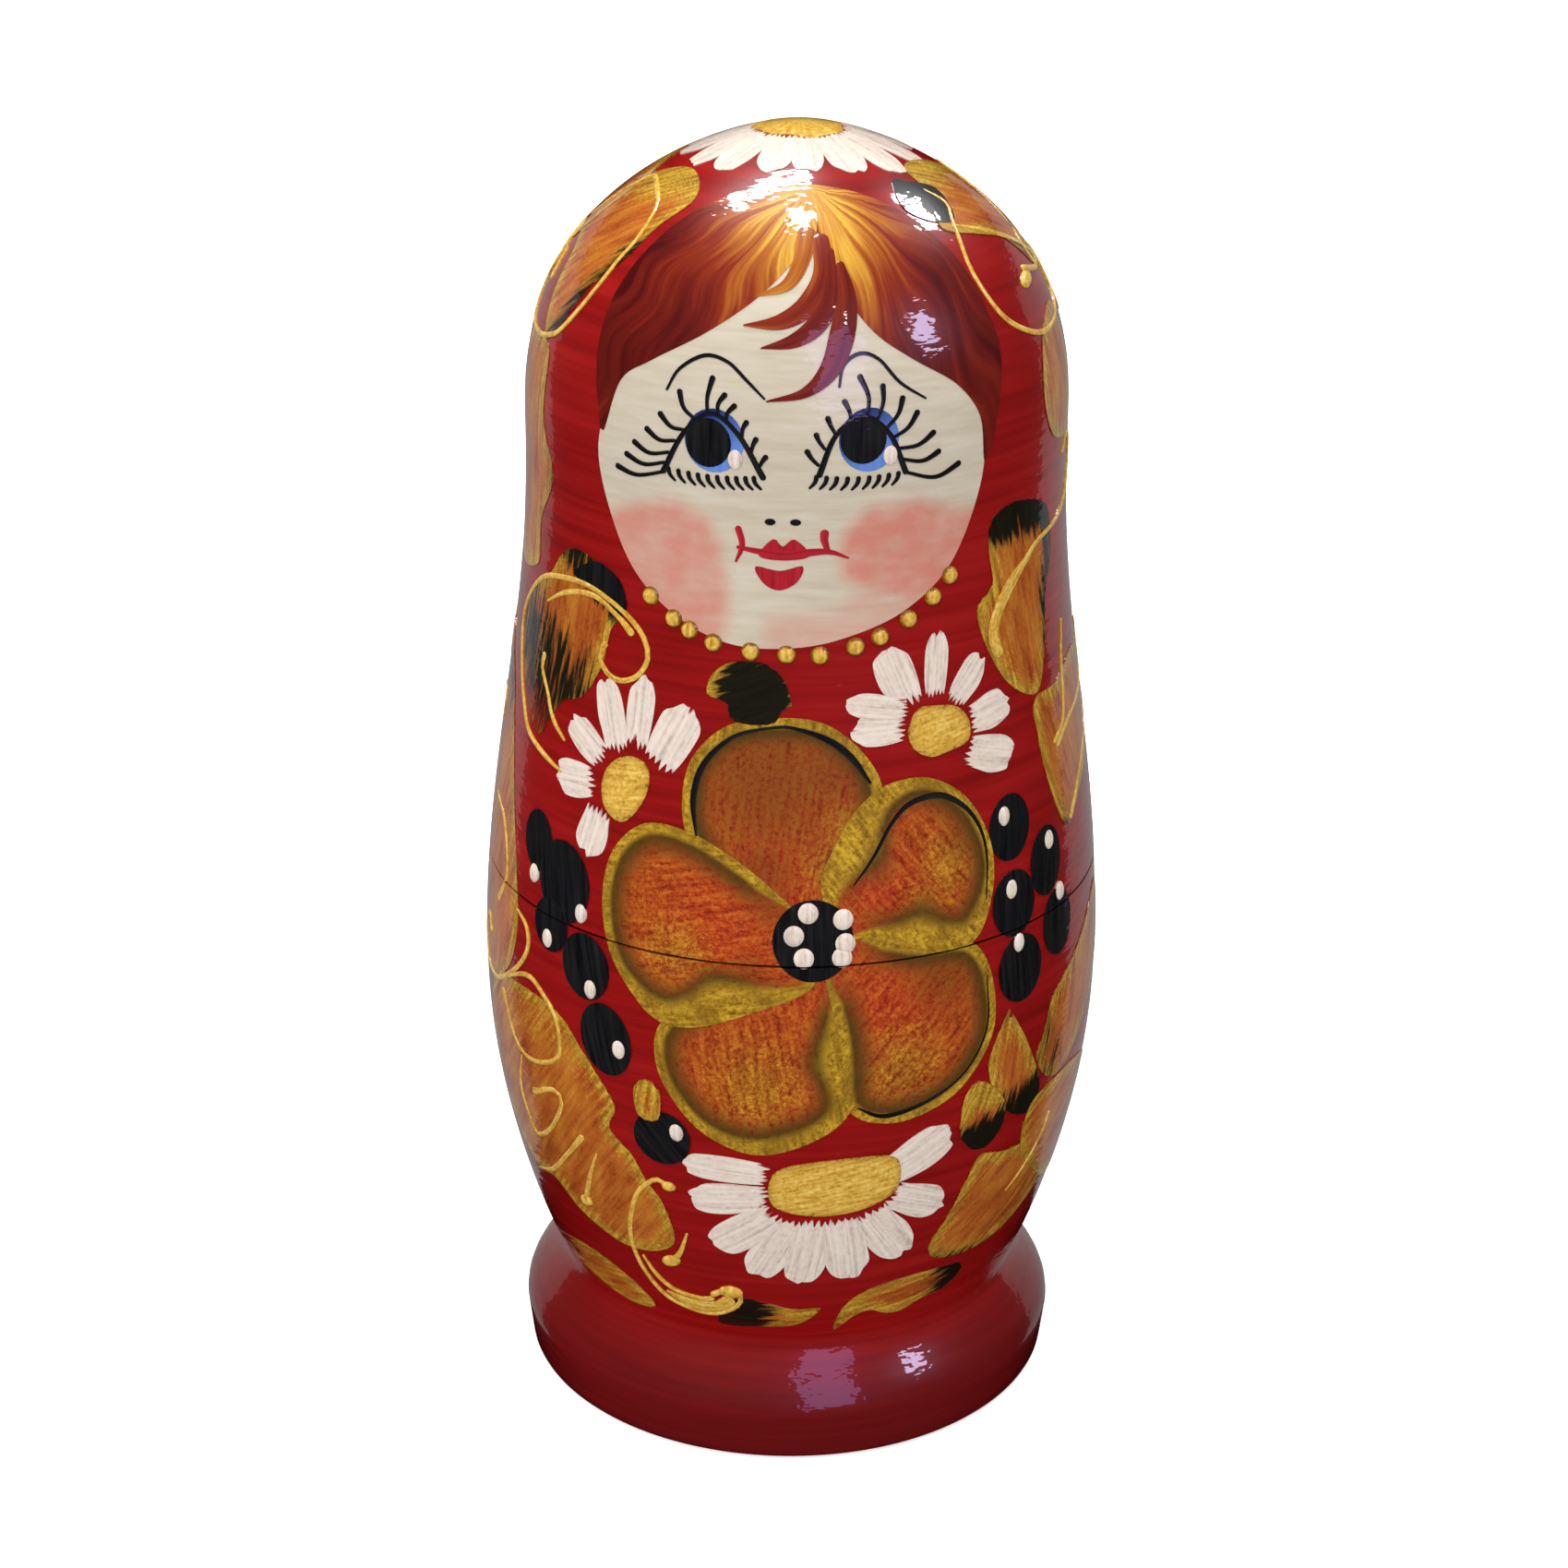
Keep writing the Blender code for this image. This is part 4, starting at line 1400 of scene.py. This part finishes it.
# Wide strokes over the last parts of two scrolls.
WIDE_STROKES = [
    ([(58.5, 122), (49.5, 118.5), (44.5, 115), (43.5, 112), (45.3, 109.8)], 1.7),
    ([(-27.5, 22.4), (-21, 21.1), (-15.5, 21.4), (-11.8, 23.4)], 2.0),
]

# Drops of gold at the ends of scrolls: angle, height, half width, half height, tilt.
SCROLL_ENDS = [
    (-24.6, 28.4, 1.5, 0.9, 25), (-44.2, 33.9, 1.2, 0.9, 20), (69.5, 153.2, 2.0, 0.9, 15),
    (-12.0, 24.6, 1.6, 1.1, 0), (-22.8, 41.3, 1.0, 0.7, 0),
]

# Black spots on leaves, beside the crown and on the shoulder.
LEAF_SPOTS = [
    [(44, 165.3), (50, 165), (62, 163.8), (58, 161.5), (53, 160.8), (44, 161.5), (38.5, 163)],
    [(-51, 118.8), (-45, 121.2), (-41, 121), (-37, 119.5), (-35.5, 116.5), (-39.5, 116.7), (-45, 118)],
]


def paint_side_leaves(paints, turn=0.0):
    """Leaves and scrolls on the doll's sides, turned by turn degrees.

    Leaves that may overlap stand at different heights, those of the turned set too.
    """
    for number, (places, *rest) in enumerate(SIDE_LEAVES):
        lift = LIFTS["leaves"] + LIFT_STEP * (3 * number % 5) + (LIFT_STEP / 2 if turn else 0.0)
        leaf(paints, lift, turned(places, turn), *rest)
    for points in SIDE_SCROLLS:
        scroll(paints, turned(points, turn))
    for points, width in WIDE_STROKES:
        scroll(paints, turned(points, turn), width, 0.1, 1.0)
    for angle, height, wide, high, tilt in SCROLL_ENDS:
        chart = Chart(turn + angle, height, tilt)
        paints["gold"].bead(chart, wide, high, LIFTS["scroll end"], 0.35, seed=angle)
    for seed, places in enumerate(LEAF_SPOTS, 1):
        chart, outline = flatten(turned(places, turn))
        paints["black"].film(chart, catmull(outline, True, 0.6), LIFTS["leaf spot"], seed=seed)


def black_middle(x, y, edge):
    """Tones of the spot over the flower: black, with gold round it."""
    return tones(x, 2.1 - np.hypot((x - 0.2) / 2.9, (y - 0.1) / 3.2), 1.0)


# Like SIDE_LEAVES, each after its kind of lift.
SMALL_STROKES = [
    ("leaf", [(-16, 18.6), (-13, 22.5), (-9, 23.6), (-4, 23), (2.5, 22), (7.5, 22), (5.5, 20.3),
              (1.5, 18.8), (-6, 18.4), (-11.5, 18)],
     84, 1.9, toward(180, -4, 3), toward(0, 0, 12, GOLD)),
    ("leaf", [(11, 17.6), (12.5, 22), (17, 24.5), (24, 25.6), (32, 25.8), (40.5, 25), (41, 22.8), (37, 21),
              (32, 20.6),
      (27, 19.2), (23, 19.4), (19, 20.6), (15.5, 20)],
     78, 2.7, toward(0, 2, 8), toward(180, 0, 10, GOLD)),
    ("leaf", [(-17, 108), (-15.8, 110.6), (-12, 112.2), (-6.5, 112.4), (-3, 111.2), (-1.2, 109.4),
              (-0.3, 107.2), (-2.2, 106.4), (-3.5, 105), (-8, 104.6), (-12.2, 105.2), (-12.8, 107)],
     70, 3.5, black_middle),
    ("berry tip", [(-28.5, 55.5), (-26, 57), (-23.4, 55.6), (-23.8, 51.5), (-27.8, 51.5)],
     10, 4.4, toward(90, -1, 2, GOLD, 0.9)),
    ("over leaf", [(32.5, 51), (33.2, 54), (36, 55.3), (40, 53.5), (43, 50.5), (43, 47), (40, 44.8),
                   (36.5, 44.8), (33, 47.5)],
     20, 5.6, toward(-80, -1.5, 2.5), toward(90, -1, 3, GOLD)),
]


def paint_small_strokes(paints, turn=0.0):
    """The strokes over the foot, a spot over the flower, and gold tips on berries."""
    for kind, places, *rest in SMALL_STROKES:
        leaf(paints, LIFTS[kind], turned(places, turn), *rest)


HEAD_BACK_LEAF = [
    (20, 136), (26, 142), (34, 146), (44, 146), (55, 139), (60, 130), (52, 127), (40, 127), (29, 130),
]
HEAD_BACK_SCROLL = [
    (22, 133), (33, 137), (46, 137), (56, 132), (58, 125), (50, 121), (42, 124), (45, 128),
]


def paint_head_back(paints, rng):
    """A daisy between two leaves on the back of the head, with berries under it."""
    petals = []
    for way in circle(11):
        far = 10.5 + rng.uniform(-0.6, 0.6)
        x, y = math.sin(way), math.cos(way)
        petals.append(((4.4 * x, 4.4 * y), (far * x, far * y), 4.0))
    paint_daisy(paints, 180, 139, ellipse(3.6, 3.5, 12), petals, rng)
    for side in (-1, 1):
        places, line = (
            [(180 + side * angle, height) for angle, height in points]
            for points in (HEAD_BACK_LEAF, HEAD_BACK_SCROLL)
        )
        leaf(paints, LIFTS["leaf"], places, side * 60, 3.3 + side,
             toward(90 - side * 60, 4, 9), toward(-90, 2, 8, GOLD, 0.8))
        scroll(paints, line)
    paint_berries(
        paints, 180,
        [(-6, 123, 3.2, 4.2, -10), (7, 123, 3.2, 4.2, 10), (1, 116.5, 3.4, 4.2, 0)],
        [(-5, 125), (8, 125), (2, 118.5)],
    )


# --- Putting a doll together -------------------------------------------------------------

# Each layer of paint, and its slot.
PAINT_SLOTS = {
    "face": "face_paint", "blue": "face_paint", "lips": "face_paint", "hair": "gold_paint",
    "leaf": "gold_paint", "petal": "gold_paint", "gold": "gold_paint",
    "white": "white_paint", "black": "black_paint",
}


def paint_doll(number):
    """Every layer of paint on one doll. The smaller a doll is, the plainer its painting."""
    rng = random.Random(FIRST_SEED + number)
    paints = {name: Layer() for name in PAINT_SLOTS}
    paint_face(paints)
    paint_hair(paints)
    paint_eyes(paints)
    paint_mouth(paints)
    paint_necklace(paints)
    paint_crown_daisy(paints, rng)
    paint_big_flower(paints)
    paint_daisies(paints, rng)
    paint_bunches(paints)
    if number < SOLID:
        paint_low_daisy(paints, rng)
        paint_side_leaves(paints)
        paint_small_strokes(paints)
    if number <= BACKS_PAINTED:
        for group in (paint_big_flower, paint_bunches, paint_side_leaves, paint_small_strokes):
            group(paints, turn=180.0)
        paint_daisies(paints, rng, 180.0)
        paint_low_daisy(paints, rng, 180.0)
        paint_head_back(paints, rng)
    return paints


def build_layer(layer, scale, base):
    """A mesh of everything in a layer, at a doll's size and place."""
    mesh = bpy.data.meshes.new("layer")
    places = np.vstack(layer.places) * scale
    places[:, 2] += base
    mesh.from_pydata((places * MM).tolist(), [], layer.faces)
    mark(mesh, "brush", np.vstack(layer.brush))
    mark(mesh, "tone", np.vstack(layer.tone))
    return mesh


def half_of(mesh, half, seam):
    """The part of the mesh that is on a half, closed where the seam, in metres, cuts it."""
    form = bmesh.new()
    form.from_mesh(mesh)
    bmesh.ops.recalc_face_normals(form, faces=form.faces)
    if half == "solid":
        return form
    upper = half == "upper"
    cut = seam + (SEAM_GAP if upper else -SEAM_GAP) * MM / 2
    made = bmesh.ops.bisect_plane(
        form, geom=form.verts[:] + form.edges[:] + form.faces[:], plane_co=(0, 0, cut),
        plane_no=(0, 0, 1), clear_inner=upper, clear_outer=not upper)
    edges = [e for e in made["geom_cut"] if isinstance(e, bmesh.types.BMEdge)]
    bmesh.ops.holes_fill(form, edges=edges, sides=0)
    return form


def place_layer(number, paint, mesh, halves, seam, material):
    """The layer's pieces, one on each half of the doll that has any of it."""
    for half in halves:
        name = f"doll_{number}_{paint}_" + ("whole" if half == "solid" else half)
        form = half_of(mesh, half, seam)
        if not form.faces:
            form.free()
            continue
        piece = put(name, to_mesh(name, form, PAINT_CREASE, material))
        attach(piece, f"{half}_{number}")


def make_doll(number, materials):
    """A doll, whose scale and place come from the frame."""
    halves = ("solid",) if number == SOLID else ("upper", "lower")
    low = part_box(f"doll_{number}_{halves[-1]}")[0].z
    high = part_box(f"doll_{number}_{halves[0]}")[1].z
    base = low / MM
    scale = (high - low) / MM / HEIGHT
    for half in halves:
        turn_half(number, half, scale, base, materials)
    seam = (base + SEAM_HEIGHT * scale) * MM
    for paint, layer in paint_doll(number).items():
        if layer.places:
            mesh = build_layer(layer, scale, base)
            place_layer(number, paint, mesh, halves, seam, materials[paint])
            bpy.data.meshes.remove(mesh)


# --- Camera, light and floor -------------------------------------------------------------


def make_camera():
    """The camera looks forward, down by its pitch, and is rolled about that line."""
    data = bpy.data.cameras.new("camera")
    data.lens = CAMERA_LENS
    data.sensor_width = 36
    data.clip_start = 0.01
    level = math.cos(CAMERA_PITCH)
    forward = Vector(
        (math.sin(CAMERA_YAW) * level, math.cos(CAMERA_YAW) * level, -math.sin(CAMERA_PITCH)))
    right = Vector((math.cos(CAMERA_YAW), -math.sin(CAMERA_YAW), 0))
    up = right.cross(forward)
    across = right * math.cos(CAMERA_ROLL) + up * math.sin(CAMERA_ROLL)
    above = up * math.cos(CAMERA_ROLL) - right * math.sin(CAMERA_ROLL)
    turn = Matrix((across, above, -forward)).transposed().to_4x4()
    camera = put("camera", data)
    camera.matrix_world = Matrix.Translation(Vector(CAMERA_PLACE) * MM) @ turn
    bpy.context.scene.camera = camera


def lamp(name, kind, direction, power):
    """A lamp off in a direction, that faces back."""
    data = bpy.data.lights.new(name, kind)
    data.energy = power
    light = put(name, data)
    light.rotation_euler = Vector(direction).to_track_quat("Z", "Y").to_euler()
    return light


def area_light(name, middle, direction, size, power, colour, lights, distance=1.0):
    """A rectangle that faces middle. Unless it lights, it shows only in gloss."""
    light = lamp(name, "AREA", direction, power)
    light.data.shape = "RECTANGLE"
    light.data.size, light.data.size_y = size
    light.data.color = colour
    light.location = Vector(middle) + Vector(direction).normalized() * distance
    light.visible_camera = False
    light.visible_diffuse = lights


def make_floor(level):
    """A plain floor, slightly emissive so that its shadow nearly vanishes."""
    nodes = material("floor")
    nodes.put(nodes.shader.inputs["Emission Color"], (1, 1, 1, 1))
    nodes.put(nodes.shader.inputs["Emission Strength"], FLOOR_GLOW)
    mesh = bpy.data.meshes.new("floor")
    corners = [(x * FLOOR_REACH, y * FLOOR_REACH, level) for x, y in ((-1, -1), (1, -1), (1, 1), (-1, 1))]
    mesh.from_pydata(corners, [], [(0, 1, 2, 3)])
    mesh.materials.append(nodes.finish((0.86, 0.86, 0.86, 1), 0.7, 0.0))
    floor = put("floor", mesh)
    floor.visible_glossy = False
    floor.visible_diffuse = False


def make_world():
    """Soft light from above and much less from below. The gloss shows only the lamps."""
    world = bpy.data.worlds.new("world")
    nodes = Nodes(world, "Background")
    height = nodes.part(nodes.add("TexCoord", {}, "Generated"), 2)
    share = nodes.math("MULTIPLY_ADD", height, 0.5, 0.5)
    sky = nodes.ramp(share, (0.44, (0.66, 0.65, 0.66)), (0.50, 1.0))
    nodes.put(nodes.shader.inputs["Color"], sky)
    world.cycles_visibility.glossy = False
    bpy.context.scene.world = world


def make_lights():
    """A sun for the body's light, a ceiling, and lamps and cards that show in the gloss."""
    sun = lamp("sun", "SUN", (-0.3, -0.60, 0.74), 1.4)
    sun.data.angle = 1.1
    sun.visible_glossy = False
    crown, temple, foot = (-0.004, -0.018, 0.164), (0.016, -0.029, 0.151), (0.005, -0.035, 0.010)
    warm, violet = (1.0, 0.98, 0.96), (0.64, 0.44, 1.0)
    # name, what it faces, direction, size, power, colour, whether it lights
    for light in (
        ("ceiling", crown, (-0.15, 0.40, 0.91), (0.42, 0.14), 6.8, warm, True),
        ("ceiling_front", crown, (0.0, 0.13, 0.99), (0.11, 0.22), 2.4, warm, False),
        ("ceiling_right", crown, (0.52, 0.48, 0.71), (0.20, 0.14), 3.0, (1.0, 0.98, 1.0), False),
        ("window_right", temple, (0.76, -0.35, 0.55), (0.18, 0.26), 2.3, (0.74, 0.66, 1.0), False),
        ("window_low", foot, (0.28, -0.82, 0.50), (0.38, 0.62), 1.75, violet, False),
        ("lamp_low", foot, (0.30, -0.52, 0.80), (0.05, 0.05), 0.35, (1.0, 0.85, 0.75), False),
    ):
        area_light(*light)
    for side in (-1, 1):
        area_light(f"card_{side}", (side * 0.030, 0.02, 0.06), (side * 0.62, 0.78, -0.05),
                   (0.16, 0.30), 0.042, (1, 1, 1), True, distance=0.16)


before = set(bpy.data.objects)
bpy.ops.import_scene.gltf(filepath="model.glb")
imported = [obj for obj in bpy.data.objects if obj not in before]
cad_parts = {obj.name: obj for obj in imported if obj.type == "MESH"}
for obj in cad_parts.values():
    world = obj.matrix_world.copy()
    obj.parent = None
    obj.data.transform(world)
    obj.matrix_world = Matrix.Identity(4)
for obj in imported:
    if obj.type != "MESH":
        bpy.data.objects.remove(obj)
cad_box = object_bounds()
make_camera()
materials = make_materials()
for number in range(1, DOLLS + 1):
    make_doll(number, materials)
make_floor(cad_box[0][2] - FLOOR_DROP)
make_world()
make_lights()
bpy.context.scene.view_settings.view_transform = "Standard"
